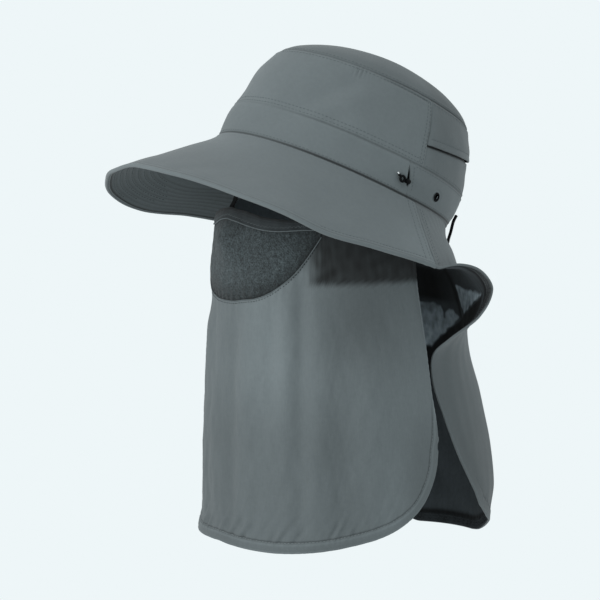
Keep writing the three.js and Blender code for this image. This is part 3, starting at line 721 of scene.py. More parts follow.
# tip
rows, cols = 32, 260
ups = np.concatenate([H_TIP + 0.15 + (100 - H_TIP - 0.15) * np.linspace(0, 1, rows) ** 0.85])
ups = np.concatenate([np.linspace(H_TIP + 0.04, H_TIP + 3, 9), np.linspace(H_TIP + 3.6, 99.2, rows - 9)])
degs = np.linspace(0, 360, cols, endpoint=False)
D, Z = np.meshgrid(degs, ups)
P = crown_surface(D, Z)
top = crown_at(0.0, 100.0)
N = normals_of(P, True)
sign = 1 if (N[:, :, 2].mean() > 0) else -1
Q = P - sign * N * 1.5
pts = np.concatenate([P.reshape(-1, 3), Q.reshape(-1, 3), [top, top - tipped(0, 0, 1.5)]])
rows = len(ups)
n = rows * cols
j, i = np.meshgrid(np.arange(rows - 1), np.arange(cols), indexing="ij")
i2 = (i + 1) % cols
outq = np.stack([j * cols + i, j * cols + i2, (j + 1) * cols + i2, (j + 1) * cols + i], -1).reshape(-1, 4)
innq = (outq + n)[:, ::-1]
k = np.arange(cols)
rimq = np.stack([k, k + n, (k + 1) % cols + n, (k + 1) % cols], -1)
last = (rows - 1) * cols
fan = np.stack([last + k, last + (k + 1) % cols, np.full(cols, 2 * n)], -1)
fan2 = np.stack([last + n + (k + 1) % cols, last + n + k, np.full(cols, 2 * n + 1)], -1)
R = pts[:, :]
uv = np.stack([R[:, 0], R[:, 1]], -1)
# the tip is painted 0.815 as dark as the crown: painted shade on the top, which the key light hardly reaches
tip = mesh_object("tip_cloth", pts, np.concatenate([outq, innq, rimq]), np.concatenate([fan, fan2]),
                  mats=["grey_cloth", "shaded_inside_cloth"], uv=uv,
                  face_mat=np.concatenate([np.zeros(len(outq), int), np.ones(len(innq), int), np.zeros(len(rimq), int),
                                           np.zeros(len(fan), int), np.ones(len(fan2), int)]),
                  attrs={"tone": np.concatenate([(0.815 * crown_tone(D, Z)).ravel(), np.ones(n), [0.815, 1.0]])})
settle(tip, ["crown_tip"])


def panel(name, d0, d1, z0, z1, cols, rows, nodes, wall=WALL, out=None, ends=(0.0, 0.0), mats=("grey_cloth", "shaded_inside_cloth"), extra=None,
          edges=None, tone=None):
    """A panel of the crown from d0 to d1 degrees. z0 and z1 may be functions of the angle."""
    k = np.linspace(0, 1, cols)
    v = np.linspace(0, 1, rows)
    v = 0.5 - 0.5 * np.cos(np.pi * v) * (0.35 + 0.65 * np.abs(np.cos(np.pi * v)) ** 0.5) if rows > 36 else v
    K, V = np.meshgrid(k, v)
    lo = z0(d0 + (d1 - d0) * K) if callable(z0) else z0
    hi = z1(d0 + (d1 - d0) * K) if callable(z1) else z1
    Z = lo + (hi - lo) * V
    D = d0 + (d1 - d0) * K
    if edges is not None:
        D = D + edges(K, Z)
    e = extra(D, Z) if extra is not None else 0.0
    P = crown_surface(D, Z, 0.0, e)
    t = crown_tone(D, Z) * (tone(D, Z) if tone is not None else 1.0)
    ob = shell(name, P, wall, list(mats), tone=t)
    return settle(ob, nodes), P


def end_seams(deg, up):
    """Grooves of the two upright seams beside the back panel."""
    a = np.abs((np.asarray(deg, float) + 180) % 360 - 180)
    x = (a - BACK_PANEL) * 1.7
    return (seam_dip(x) * 0.5) * ramp(up, H_BAND - 0.5, H_BAND + 1.5) + 0.25 * bump(x + 5, 2.2)


side_panel, P_side = panel("side_cloth", -BACK_PANEL + 0.04, BACK_PANEL - 0.04, H_BAND + 0.04, H_TIP - 0.04, 272, 50,
                           ["crown_side"], extra=end_seams)


def slot_at(d):
    return SLOT_TOP - SLOT_DROP * (np.hypot((180 - d) / (180 - BACK_PANEL), 0.12) - 0.12) / 0.8872


def upper_lift(d, z):
    lift = LIFT * np.clip((H_TIP - z) / (H_TIP - slot_at(d) - LAP - 1.5), 0, 1)
    ends = ramp(np.minimum(d - BACK_PANEL, 360 - BACK_PANEL - d), 0.0, 2.2)
    hem = 0.25 * bump(z - slot_at(d) - 1.0, 1.4) - 0.22 * bump(z - slot_at(d) - 4.6, 0.7)
    return lift * (0.25 + 0.75 * ends) + hem + end_seams(d, z) * 0.8


def lower_sink(d, z):
    return end_seams(d, z) * 0.8 - 1.9 * ramp(z, slot_at(d) - 2.7, slot_at(d) - 0.9)


def slot_shade(d, z):
    return 1 - 0.95 * ramp(z, slot_at(d) - 2.5, slot_at(d) - 1.3)


# the upper back panel is painted 0.95 as dark: painted shade on the back
upper_panel, _ = panel("back_upper_cloth", BACK_PANEL + 0.04, 360 - BACK_PANEL - 0.04, slot_at, H_TIP - 0.04, 180, 42,
                       ["crown_back_upper"], wall=PLY, extra=upper_lift, tone=lambda d, z: 0.95)
lower_panel, _ = panel("back_lower_cloth", BACK_PANEL + 0.04, 360 - BACK_PANEL - 0.04, H_BAND + 0.04,
                       lambda d: slot_at(d) + LAP, 180, 50, ["crown_back_lower"], wall=PLY, extra=lower_sink, tone=slot_shade)


# base band, with the open slit on each side
def slit_centre(up):
    return 91.0 + (14.7 - up) * 0.17


def slit_half(up):
    """Half the slit's opening, in mm: open from 6.5 to 22.8 up and shut above and below."""
    t = np.clip((up - 6.2) / (22.8 - 6.2), 0, 1)
    return 0.50 + 1.75 * np.sin(np.pi * t ** 0.8) ** 0.8


def band_front_extra(deg, up):
    a = np.abs(deg)
    gap = (slit_centre(up) - a) * 1.78
    side = np.sign(deg)
    open_part = np.sin(np.pi * np.clip((up - 5) / 19, 0, 1))
    d = 0.75 * bump(gap, 4.5) * open_part
    # little pleats under the cord's end
    d = d + 0.34 * np.sin(gap * 2 * np.pi / 2.0) * bump(gap - 4.6, 3.6) * bump(up - 6.0, 3.6)
    d = d - 0.5 * bump(gap - 4.5, 3.0) * bump(up - 11.5, 2.6)
    return d + 0.0 * side


def band_rear_extra(deg, up):
    a = np.abs((np.asarray(deg, float) + 180) % 360 - 180)
    gap = (a - slit_centre(up)) * 1.78
    open_part = np.sin(np.pi * np.clip((up - 5) / 19, 0, 1))
    d = (0.95 * bump(gap - 0.4, 1.3) - 0.35 * bump(gap - 3.2, 1.2)) * open_part
    # the eyelet pulls the cloth in a little
    e = np.hypot((a - 111) * 1.55, up - 10.4)
    return d - 0.45 * bump(e - 4.2, 1.6) * (e > 3)


def hug(lo, hi):
    """Bends the two ends of a band onto the slanting slit."""
    def move(K, Z):
        first = -slit_centre(Z) + slit_half(Z) / 1.78 if lo < 0 else slit_centre(Z) + slit_half(Z) / 1.78
        last = slit_centre(Z) - slit_half(Z) / 1.78 if lo < 0 else 360 - slit_centre(Z) - slit_half(Z) / 1.78
        wl, wr = (1 - ramp(K, 0, 0.16)), ramp(K, 0.84, 1)
        return (first - lo) * wl + (last - hi) * wr
    return move


band_front, P_bf = panel("band_front_cloth", -SLIT, SLIT, -1.5, H_BAND - 0.04, 340, 38, ["base_band_front"],
                         extra=band_front_extra, edges=hug(-SLIT, SLIT))


def surface_frame(deg, up):
    p = crown_at(deg, up)
    along = crown_at(deg + 0.5, up) - crown_at(deg - 0.5, up)
    along /= np.linalg.norm(along)
    rise = crown_at(deg, up + 0.2) - crown_at(deg, up - 0.2)
    rise /= np.linalg.norm(rise)
    out = np.cross(along, rise)
    out /= np.linalg.norm(out)
    if out @ (p * [1, 1, 0]) < 0:
        out = -out
    return p, along, np.cross(out, along), out


# the rear band has a hole at each eyelet: the grid is opened there
def rear_band():
    cols, rows = 400, 38
    K, V = np.meshgrid(np.linspace(0, 1, cols), np.linspace(0, 1, rows))
    Z = -1.5 + (H_BAND + 1.46) * V
    D = SLIT + (360 - 2 * SLIT) * K
    D = D + hug(SLIT, 360 - SLIT)(K, Z)
    # the grid is pressed away from the two holes so that they come out round
    for centre in (111.0, 249.0):
        x, y = (D - centre) * 1.55, Z - 10.4
        r = np.hypot(x, y)
        hole = 2.45
        push = np.where(r < 7, hole + (7 - hole) * (r / 7) ** 1.0, r)
        scale = np.where(r > 1e-6, push / np.maximum(r, 1e-6), 1)
        D, Z = centre + x * scale / 1.55, 10.4 + y * scale
    P = crown_surface(D, Z, 0.0, band_rear_extra(D, Z))
    # a paler ring of cloth round each eyelet is a painted highlight for the light on the eyelet's rim, and the band is
    # painted 0.95 as dark as shade on the back
    ring = 1.0
    for centre in (111.0, 249.0):
        ring = ring + 0.20 * bump(np.hypot((D - centre) * 1.55, Z - 10.4) - 4.6, 0.55)
    ob = shell("band_rear_cloth", P, WALL, ["grey_cloth", "shaded_inside_cloth"], tone=0.95 * crown_tone(D, Z) * ring)
    # the few faces that still span a hole are taken out
    cut = bmesh.new()
    cut.from_mesh(ob.data)
    gone = []
    for deg in (111.0, 249.0):
        centre, _, _, axis = surface_frame(deg, 10.4)
        for face in cut.faces:
            off = np.array(face.calc_center_median()) * 1000 - centre
            if abs(off @ axis) < 6 and np.linalg.norm(off - axis * (off @ axis)) < 1.9:
                gone.append(face)
    bmesh.ops.delete(cut, geom=gone, context="FACES")
    cut.to_mesh(ob.data)
    cut.free()
    return ob


band_rear = settle(rear_band(), ["base_band_rear"])


# the eyelets: a lathe round the surface's own axis
def eyelet(name, node, deg):
    p, x, y, z = surface_frame(deg, 10.4)
    profile = [(1.35, -2.4), (3.0, -2.35), (3.2, -2.2), (2.1, -2.05), (2.1, 0.2), (3.2, 0.25), (3.6, 0.40), (3.5, 0.62),
               (3.1, 0.75), (2.5, 0.72), (2.0, 0.45), (1.6, 0.0), (1.4, -0.6), (1.35, -1.5)]
    sides, pts, quads = 40, [], []
    for r, h in profile:
        for q in range(sides):
            a = 2 * math.pi * q / sides
            pts.append(p + (x * math.cos(a) + y * math.sin(a)) * r + z * h)
    m = len(profile)
    for r in range(m):
        for q in range(sides):
            a, b = r * sides + q, r * sides + (q + 1) % sides
            c, d = ((r + 1) % m) * sides + (q + 1) % sides, ((r + 1) % m) * sides + q
            quads.append([a, b, c, d])
    ob = mesh_object(name, pts, quads, mats=["black_metal", "black_hole"], uv=np.zeros((len(pts), 2)),
                     face_mat=[1 if r > 8 else 0 for r in range(m) for _ in range(sides)], attrs={"tone": np.ones(len(pts))})
    return settle(ob, [node])


eyelet("eyelet_ring_left", "eyelet_left", 111.0)
eyelet("eyelet_ring_right", "eyelet_right", -111.0)


# the casing behind the slit and the eyelet, in which the drawcord runs
def casing(name, side):
    D, Z = np.meshgrid(side * np.linspace(83, 118, 70), np.linspace(2.5, 23.0, 16))
    P = crown_at(D, Z, -2.5)
    flip = bool((normals_of(P) * P * [1, 1, 0]).sum(-1).mean() < 0)
    # its cloth is painted near black: painted shade inside the band behind the slit and the eyelet
    return settle(shell(name, P, 0.8, ["shaded_inside_cloth", "shaded_inside_cloth"], flip=flip, tone=np.full(P.shape[:2], 0.10)), ())


casing("casing_left", 1)
casing("casing_right", -1)


# the drawcord's ends: a cord out of the slit, with a small ring at its end
def cord_end(name, node, side):
    way = [crown_at(side * (SLIT + 1.2), 10.4, -2.3), crown_at(side * (SLIT + 1.0), 10.4, 0.5), crown_at(side * 91.2, 10.2, 1.9),
           crown_at(side * 90.4, 10.0, 2.4), crown_at(side * 89.8, 9.9, 2.4)]
    body = sweep(name, through(way, 8), 1.75, ["black_cord"], sides=16)
    settle(body, [node])
    p, x, y, z = surface_frame(side * 88.0, 10.0)
    ring = [p + z * 2.1 + (x * math.cos(a) * 0.95 + y * math.sin(a)) * 2.05 for a in np.linspace(0, 2 * math.pi, 33)]
    loop = sweep(name + "_ring", ring, 0.88, ["black_cord"], sides=12, up=z)
    settle(loop, ())
    tail = through([crown_at(side * 86.8, 11.0, 2.2), crown_at(side * 86.2, 11.5, 2.2), crown_at(side * 85.7, 12.0, 1.9)], 6)
    settle(sweep(name + "_tail", tail, 1.0, ["black_cord"], sides=12), ())
    # a pale tip on the cord's end whose whitish colour is a painted glint
    tipline = through([crown_at(side * 85.7, 12.2, 2.1), crown_at(side * 85.35, 12.6, 2.0), crown_at(side * 85.0, 12.9, 1.7)], 5)
    settle(sweep(name + "_tip", tipline, 0.5, ["glint_bead"], sides=12), ())
    return body


cord_end("cord_tab_left", "cord_end_left", 1)
cord_end("cord_tab_right", "cord_end_right", -1)


# ------------------------------------------------------------------ brim
def rim_share(deg):
    return EDGE_W / np.hypot(column(BRIM, np.abs(deg), 1), column(BRIM, np.abs(deg), 2))


def brim_width(deg):
    a = np.abs(deg)
    return np.hypot(column(BRIM, a, 1), np.where(deg < 0, column(BRIM, a, 3), column(BRIM, a, 2)))


def far_droop(deg, s):
    bulge = 1.8 * bump(s - 0.12, 0.14) * ramp(s, 0, 0.05) - 1.5 * bump(s - 0.78, 0.2)
    return 1.7 * s ** 2 * ramp(-deg, 38, 55) * (1 - ramp(-deg, 88, 97)) + bulge * bump(deg + 33, 35)


def near_rise(deg, s):
    """The front's rim stands a little higher on the left."""
    return 2.9 * s ** 2 * ramp(deg, -14, 4) * (1 - ramp(deg, 50, 63))


def brim_lift(deg, s):
    """Waviness and sewing of the brim's top, in mm up."""
    w = brim_width(deg) * s
    d = 0.9 * waves(21, deg * 2.2, w, size=95) * s + 0.18 * waves(22, deg * 2.2, w, size=26) * s
    from_rim = brim_width(deg) * (1 - s)
    d = d - far_droop(deg, s) + near_rise(deg, s) - 0.20 * bump(from_rim - 6.6, 0.8) + 0.10 * bump(from_rim - 4.6, 1.3)
    # the base seam: the cloth turns down into it
    d = d - 0.9 * bump(w, 1.1) + 0.25 * bump(w - 3.0, 2.0)
    # the seam at the brim's end, and the facing's edge before it
    x = (BRIM_END - np.abs(deg)) * (1.5 + 0.6 * s)
    d = d + 0.20 * bump(x - 3.5, 1.8) - 0.26 * bump(x - 6.0, 0.9) + 0.14 * bump(x - 8.2, 1.8)
    return d


def brim_grid(s0, s1, cols, rows, skip, lift=brim_lift, ends=-0.42):
    d = np.linspace(-BRIM_END + ends, BRIM_END - ends, cols)
    k = np.linspace(0, 1, rows) if np.isscalar(rows) else rows
    D, K = np.meshgrid(d, k)
    S = s0(D) + (s1(D) - s0(D)) * K
    B = brim_at(D, S)
    N = normals_of(B)
    N = N * np.sign(N[..., 2:3].mean())
    return D, S, B + N * (lift(D, S) - skip)[..., None] if lift is not None else B - N * skip


one = lambda value: (lambda d: np.full_like(d, value))
inner_rim = lambda d: 1 - rim_share(d)
k_top = np.concatenate([np.linspace(0, 0.09, 11), np.linspace(0.115, 0.82, 24), np.linspace(0.84, 1, 21)])
Dt, St, Pt = brim_grid(one(0.004), inner_rim, 300, k_top, GAP / 2)
wt = brim_width(Dt) * St
# painted shade in the base seam and in the groove by the edge band, a painted highlight on the roll below the base
# seam, painted shade over the front where the key light falls strongest, and painted light near the left end
tone_t = (1 - (0.72 + 0.20 * ramp(np.abs(Dt), 18, 60)) * bump(wt, 0.65 + 0.30 * ramp(np.abs(Dt), 18, 60))) * (1 + 0.10 * bump(wt - 1.9, 0.9)) * (1 - 0.24 * bump(Dt + 14, 42) * ramp(St, 0.1, 0.6))
tone_t = tone_t * (1 + 0.15 * ramp(Dt, 80, 92) * ramp(St, 0.2, 0.6))
tone_t = tone_t * (1 - 0.22 * bump(brim_width(Dt) * (1 - St) - 3.2, 0.7))
brim_top = shell("brim_top_cloth", Pt, PLY, ["grey_cloth", "under_cloth"], tone=tone_t, flip=bool(normals_of(Pt)[..., 2].mean() < 0))
settle(brim_top, ["brim_top"])

ROWS_UNDER = [9.0, 14.2, 19.4, 24.6, 29.8, 35.0, 40.2, 45.4]


def under_lift(deg, s):
    """The underside: quilted rows that run round at a fixed distance from the rim."""
    from_rim = brim_width(deg) * (1 - s)
    w = brim_width(deg) * s
    d = 0.9 * waves(21, deg * 2.2, w, size=95) * s - far_droop(deg, s) + near_rise(deg, s)
    for row in ROWS_UNDER:
        d = d + 0.30 * bump(from_rim - row, 0.75)
    inside = ramp(from_rim, 6, 9) * (1 - ramp(from_rim, 46, 50))
    d = d - 0.16 * np.cos((from_rim - ROWS_UNDER[0]) * 2 * np.pi / 5.2 + np.pi) * -1 * inside
    return d


Du, Su, Pu = brim_grid(one(0.02), inner_rim, 256, 88, GAP / 2 + PLY + GAP, lift=under_lift)
# the underside is a sheet whose shown face looks down
under_in = Pu
Nu = normals_of(Pu)
Nu = Nu * np.sign(Nu[..., 2:3].mean())
Pu_down = Pu - Nu * PLY
rim_u = brim_width(Du) * (1 - Su)
# painted shade in the groove inside the rim and along each quilted row, with a faint painted highlight beside each row
tone_u = 1 - 0.90 * bump(rim_u - 3.9, 1.1)
for row in ROWS_UNDER:
    tone_u = tone_u * (1 - 0.24 * bump(rim_u - row, 0.9)) * (1 + 0.07 * bump(rim_u - row - 2.6, 1.0))
brim_under = shell("brim_under_cloth", Pu_down, PLY, ["under_cloth", "under_cloth"], tone=tone_u,
                   flip=bool(normals_of(Pu_down)[..., 2].mean() > 0))
settle(brim_under, ["brim_underside"])

# the turned edge: a band that goes round the rim
De, Se, Pe = brim_grid(lambda d: inner_rim(d) + 0.002, lambda d: 0.980 + 0.012 * ramp(-d, -25, 25), 320, 9, GAP / 2,
                       lift=lambda d, s: brim_lift(d, s) + 0.22 * np.sin(np.pi * np.clip((s - inner_rim(d)) / (1 - inner_rim(d)), 0, 1)))
brim_edge = shell("brim_edge_cloth", Pe, 2 * PLY + GAP + 0.2, ["grey_cloth", "under_cloth"],
                  rim=8, bulge=0.5, flip=bool(normals_of(Pe)[..., 2].mean() < 0))
settle(brim_edge, ["brim_edge"])


# ------------------------------------------------------------------ face cover
TOP_BY_DEG = np.column_stack([COVER_TOP[:, 1], COVER_TOP[:, 2]])


def cover_folds(deg, z):
    """Folds of the cover's cloth, in mm outwards."""
    depth = -z
    d = 0.0
    # soft upright folds on the front and the left, with the places read off the outline
    for at, lean, wide, high, start, stop in [
        (9.0, 0.0, 4.2, -1.7, 88, 275), (18.5, 0.0, 6.0, 1.3, 84, 250), (31.6, 0.0, 3.8, -1.8, 76, 150),
        (37.6, 0.0, 4.6, 1.7, 68, 190), (45.4, 0.0, 3.6, -2.6, 52, 265), (53.0, 0.01, 5.5, 1.1, 70, 210),
        (63.0, -0.02, 6.5, -1.0, 90, 250), (74.0, 0.0, 7.5, 0.9, 120, 240), (26.0, 0.02, 5.0, -0.7, 140, 250),
        (-12.0, 0.0, 5.0, -1.4, 88, 270), (-24.0, 0.0, 6.0, 1.3, 84, 240), (-36.0, 0.0, 4.5, -1.6, 70, 230),
        (-47.0, 0.0, 6.0, 1.4, 60, 260), (-60.0, 0.02, 6.0, -1.2, 90, 250), (-75.0, 0.0, 8.0, 1.0, 110, 250),
    ]:
        where = at + lean * (depth - 150)
        d = d + high * bump(deg - where, wide) * ramp(depth, start - 8, start + 22) * (1 - ramp(depth, stop - 25, stop + 20))
    d = d + 0.9 * waves(31, deg * 1.7, depth * 0.35, size=46) * ramp(depth, 95, 150)
    d = d + 0.22 * waves(32, deg * 1.7, depth * 0.6, size=13) * ramp(depth, 60, 110)
    d = d + 0.30 * waves(35, deg * 1.7, depth * 0.25, size=9) * ramp(depth, 140, 215) * bump(deg - 33, 42)
    d = d + 0.10 * waves(36, deg * 1.7, depth, size=5) * ramp(depth, 60, 110)
    return d


def near_tree(points):
    tree = KDTree(len(points))
    for n, p in enumerate(points):
        tree.insert(p, n)
    tree.balance()
    return tree


def distance_to(points, border):
    tree = near_tree(border)
    flat = points.reshape(-1, 3)
    return np.array([tree.find(p)[2] for p in flat]).reshape(points.shape[:2])


def hem_line(us):
    a = np.abs(us)
    return cover_at(np.sign(us) * column(COVER_HEM, a, 1) * column(COVER, -column(COVER_HEM, a, 2), 3), column(COVER_HEM, a, 2))


def upper_z(u):
    """Height of the cover's own upper edge: the patch's lower line, and past it the cover's top."""
    own = column(COVER_TOP, np.abs(u), 2)
    z = np.full_like(u, -55.0)
    for _ in range(60):
        deg = np.abs(cover_deg(u, z))
        z = 0.5 * z + 0.5 * column(PATCH, deg, 2)
    deg = np.abs(cover_deg(u, z))
    past = np.abs(cover_deg(u, np.full_like(u, -28.0)))
    w = ramp(past, 54.2, 58.6)
    low = np.where(deg >= 53.9, -30.9 + (3.6 * ramp(past, 53.9, 55.0)), z - 0.35)
    return low * (1 - w) + own * w


# columns lie closer together where the patch ends
u_half = np.concatenate([np.linspace(0, 0.50, 58), np.linspace(0.504, 0.60, 26), np.linspace(0.607, 0.985, 46), np.linspace(0.9885, 1, 7)])
u_cols = np.concatenate([-u_half[:0:-1], u_half])
v_rows = np.concatenate([np.linspace(0, 0.03, 7), np.linspace(0.038, 0.93, 82), np.linspace(0.935, 1, 26)])
U, V = np.meshgrid(u_cols, v_rows)
top_z = upper_z(U[0])
hem_z = column(COVER_HEM, np.abs(U), 2) - 2.4 * bump(U - 0.80, 0.13)
Z = top_z[None, :] + (hem_z - top_z[None, :]) * V
DEG = cover_deg(U, Z)
DEG = DEG - np.sign(U) * 0.75 * ramp(np.abs(U), 0.92, 1) * (1 - ramp(-Z, 195, 215))
base_cover = cover_at(DEG, Z)
hem_border = np.concatenate([base_cover[-1], base_cover[:, 0], base_cover[:, -1]])
fine_border = np.concatenate([resample(base_cover[-1], 0.8)[0], resample(base_cover[:, 0], 0.8)[0], resample(base_cover[:, -1], 0.8)[0]])
edge_mm = distance_to(base_cover, fine_border)
Nc = normals_of(base_cover)
Nc = Nc * np.sign((Nc * base_cover * [1, 1, 0]).sum(-1).mean())
arc = np.concatenate([np.zeros((len(v_rows), 1)), np.cumsum(np.linalg.norm(np.diff(base_cover, axis=1), axis=-1), axis=1)], axis=1)
arc -= arc[:, arc.shape[1] // 2][:, None]
HEM_C = 7.2


def nip(deg, z):
    """The cloth is drawn in where the patch's lower edge passes round the right side."""
    return 3.4 * bump(-z - 86, 14) * bump(deg + 32, 20)


lift = cover_folds(DEG, Z) - 2.2 * bump(DEG + 33, 15) * ramp(-Z, 85, 118)
lift = lift * ramp(edge_mm, 0, 16) - nip(DEG, Z)
hem_w = HEM_C * ramp(-Z, 146, 205)
hem_on = ramp(-Z, 150, 172)
# puckers over the hem's stitch line
hem_low = ramp(-Z, 205, 225)
slant = arc - 0.75 * (edge_mm - HEM_C)
pucker = (np.sin(slant * 2 * np.pi / 11.0 + 1.1 * np.sin(arc * 0.11)) + 0.45 * np.sin(slant * 2 * np.pi / 6.3 + 0.8)) * 0.62
zone = (bump(arc - 30, 75) * hem_low + 0.35 * hem_low) * np.clip(0.75 + 0.75 * waves(45, arc, size=34), 0.05, 1.6)
lift = lift + pucker * zone * bump(np.maximum(0, edge_mm - HEM_C - 1), 15.0) * ramp(edge_mm, HEM_C - 3, HEM_C + 1.5)
lift = lift + 0.22 * np.sin(arc * 2 * np.pi / 4.6 + 1.2 * np.sin(arc * 0.3)) * bump(edge_mm - HEM_C, 2.6) * hem_low
# puckers where the cover is sewn to the patch
to_patch = (top_z[None, :] - Z)
lift = lift + (0.22 + 0.16 * waves(44, arc, size=30)) * np.sin(arc * 2 * np.pi / 8.5 + 0.9 + 1.6 * np.sin(arc * 0.13)) * bump(to_patch, 14) * (1 - ramp(np.abs(DEG), 50, 58)) * ramp(to_patch, 0, 2)
# the hem is a folded band: thicker, with a step at its stitch line
lift = lift + (0.55 * (1 - ramp(edge_mm, hem_w - 0.2, hem_w + 0.7)) - 0.55 * bump(edge_mm - hem_w - 0.1, 0.55)) * hem_on
lift = lift - 0.35 * bump(edge_mm - 1.0, 1.0)
P_cover = base_cover + Nc * lift[..., None]
# painted shadow of the brim on the side of the cover, mottled and soft at its edges
side_deg = np.abs(DEG)
ragged = waves(43, arc, Z * 0.5, size=9)
dark = ramp(side_deg + 1.6 * ragged, 45.0, 54.0) * (1 - ramp(-Z + 0.5 * ragged, 64.6, 69.4))
grain = 0.5 + 0.5 * waves(41, arc, Z * 0.35, size=5.5)
fleck = cell_noise(42, base_cover, 7.0)
brim_shadow_tone = 0.105 + 0.07 * grain + 0.04 * fleck
# painted shade under the brim on the cover's left side, over its lower part and over its front and right, and a painted
# highlight along a fold on the front-left
cover_light_shade = (1 - 0.30 * bump(-Z - 96, 36) * bump(DEG - 71, 20)) * (1 + 0.18 * bump(DEG - 31, 14) * bump(-Z - 116, 58))
cover_light_shade = cover_light_shade * (1 - 0.19 * ramp(-Z, 120, 190) * (1 - ramp(DEG, 60, 85))) * (1 - 0.13 * (1 - ramp(DEG, 4, 22)))
# painted shade in the hem's stitch groove and low on the left towards the back, and a painted highlight on the hem band
# and along the cover's cut edge
tone_cover = (cover_light_shade * (1 - dark) + brim_shadow_tone * dark) * (1 - 0.42 * bump(edge_mm - hem_w - 0.7, 0.7) * hem_on) * (1 + 0.20 * bump(edge_mm - hem_w + 1.5, 0.9) * hem_on)
tone_cover = tone_cover * (1 + 0.16 * (edge_mm < 0.6) * (1 - dark)) * (1 - 0.17 * ramp(DEG, 84, 98) * ramp(-Z, 150, 195))
# inside, the shaded cloth is brought up to the grey cloth's tone near the top, so its painted shade lies only lower
# down
cover = shell("face_cover_cloth", P_cover, CLOTH - 0.4, ["cover_cloth", "shaded_inside_cloth"],
              flip=bool((normals_of(P_cover) * base_cover * [1, 1, 0]).sum(-1).mean() < 0), tone=tone_cover,
              tone_in=1 + 2.4 * (1 - ramp(-Z, 45, 95)), inner_hem=edge_mm < hem_w)
settle(cover, ["face_cover"])


def strip_patch_grid(deg_end, low_c, high_fn, cols, rows, low_shift, high_shift):
    d = np.linspace(-deg_end, deg_end, cols)
    D, W = np.meshgrid(d, np.linspace(0, 1, rows))
    a = np.minimum(np.abs(D), PATCH_END)
    low = column(PATCH, a, low_c) + low_shift
    high = high_fn(D) + high_shift
    Z = low + (high - low) * W
    return D, Z


Dp, Zp = strip_patch_grid(PATCH_END - 0.5, 2, lambda d: column(PATCH, np.abs(d), 1), 205, 56, 0.0, -0.35)
Bp = cover_at(Dp, Zp)
Np = normals_of(Bp)
Np = Np * np.sign((Np * Bp * [1, 1, 0]).sum(-1).mean())
to_low = Zp - column(PATCH, np.abs(Dp), 2)
to_high = column(PATCH, np.abs(Dp), 1) - Zp
lift_p = -nip(Dp, Zp) + 0.35 * waves(51, Dp * 1.6, Zp, size=30) + 0.13 * waves(52, Dp * 1.6, Zp, size=6.5)
lift_p = lift_p + 0.30 * np.sin(Dp * 1.6 * 2 * np.pi / 7.5) * bump(to_low, 7) - 0.5 * bump(to_low, 0.9)
lift_p = lift_p + 0.18 * np.sin(Dp * 1.6 * 2 * np.pi / 6.0) * bump(to_high, 6) - 0.5 * bump(to_high, 0.9)
tone_p = 1 + 0.07 * waves(53, Dp * 1.7, Zp, size=9) + 0.05 * waves(54, Dp * 1.7, Zp * 1.2, size=3.6)
# painted shade in the patch's two seams; the knit is also darker near its lower edge, towards its sides and low on the
# front and right
tone_p = tone_p * (1 + 0.10 * waves(55, Dp * 1.7, Zp, size=5.2)) * (0.60 + 0.40 * ramp(to_low, 0, 15)) * (1 - 0.22 * bump(to_low, 2.4)) * (1 - 0.25 * bump(to_high, 3.0)) * (1 - 0.16 * ramp(np.abs(Dp), 38, 52))
tone_p = tone_p * (1 - 0.27 * ramp(-Zp, 56, 74) * (1 - ramp(Dp, 30, 45)))
P_patch = Bp + Np * (lift_p - 0.25)[..., None]
patch = shell("mouth_mesh_knit", P_patch, 1.0, ["mesh_knit", "mesh_knit"],
              flip=bool((normals_of(P_patch) * Bp * [1, 1, 0]).sum(-1).mean() < 0), tone=tone_p)
settle(patch, ["mouth_mesh"])

Ds, Zs = strip_patch_grid(STRIP_END, 1, lambda d: np.interp(np.abs(d), TOP_BY_DEG[:, 0], TOP_BY_DEG[:, 1]), 205, 22, 0.0, 0.0)
top_s = column(TOP_BY_DEG, np.abs(Ds), 1)
low_s = column(PATCH, np.minimum(np.abs(Ds), PATCH_END), 1)
Zs = low_s + (top_s - low_s) * np.linspace(0, 1, 22)[:, None]
Bs = cover_at(Ds, Zs)
Ns = normals_of(Bs)
Ns = Ns * np.sign((Ns * Bs * [1, 1, 0]).sum(-1).mean())
lift_s = 0.25 * np.sin(np.pi * (Zs - low_s) / np.maximum(top_s - low_s, 0.1)) + 0.10 * waves(61, Ds * 1.6, Zs, size=9)
lift_s = lift_s - 0.35 * bump(top_s - Zs - 2.0, 0.5)
P_strip = Bs + Ns * (lift_s + 0.15)[..., None]
# painted shade along the strip's top edge, under the brim
tone_s = 1 + 0.10 * waves(62, Ds * 1.7, Zs, size=8) - 0.55 * (1 - ramp(top_s - Zs, 0.9, 2.3))
strip = shell("nose_strip_cloth", P_strip, 1.5, ["strip_cloth", "strip_cloth"], bulge=0.5,
              flip=bool((normals_of(P_strip) * Bs * [1, 1, 0]).sum(-1).mean() < 0), tone=tone_s)
settle(strip, ["nose_strip"])

# pipings: one along the strip's lower edge, one along the patch's lower edge
dd = np.linspace(-53.5, 53.5, 260)
pipe_n = lambda d, z: (lambda b: b / np.linalg.norm(b, axis=-1, keepdims=True))(np.stack([cover_at(d, z)[..., 0], cover_at(d, z)[..., 1], 0 * z], -1))
zl = column(PATCH, np.abs(dd), 1) - 0.1
line_strip = cover_at(dd, zl) + pipe_n(dd, zl) * 0.35
settle(sweep("piping_strip", line_strip, 0.46, ["piping_light"], sides=8), ())
zl2 = column(PATCH, np.abs(dd), 2) - 0.15
line_patch = cover_at(dd, zl2) + pipe_n(dd, zl2) * (0.20 - nip(dd, zl2))[:, None]
settle(sweep("piping_patch", line_patch, 0.40, ["piping_light"], sides=8), ())

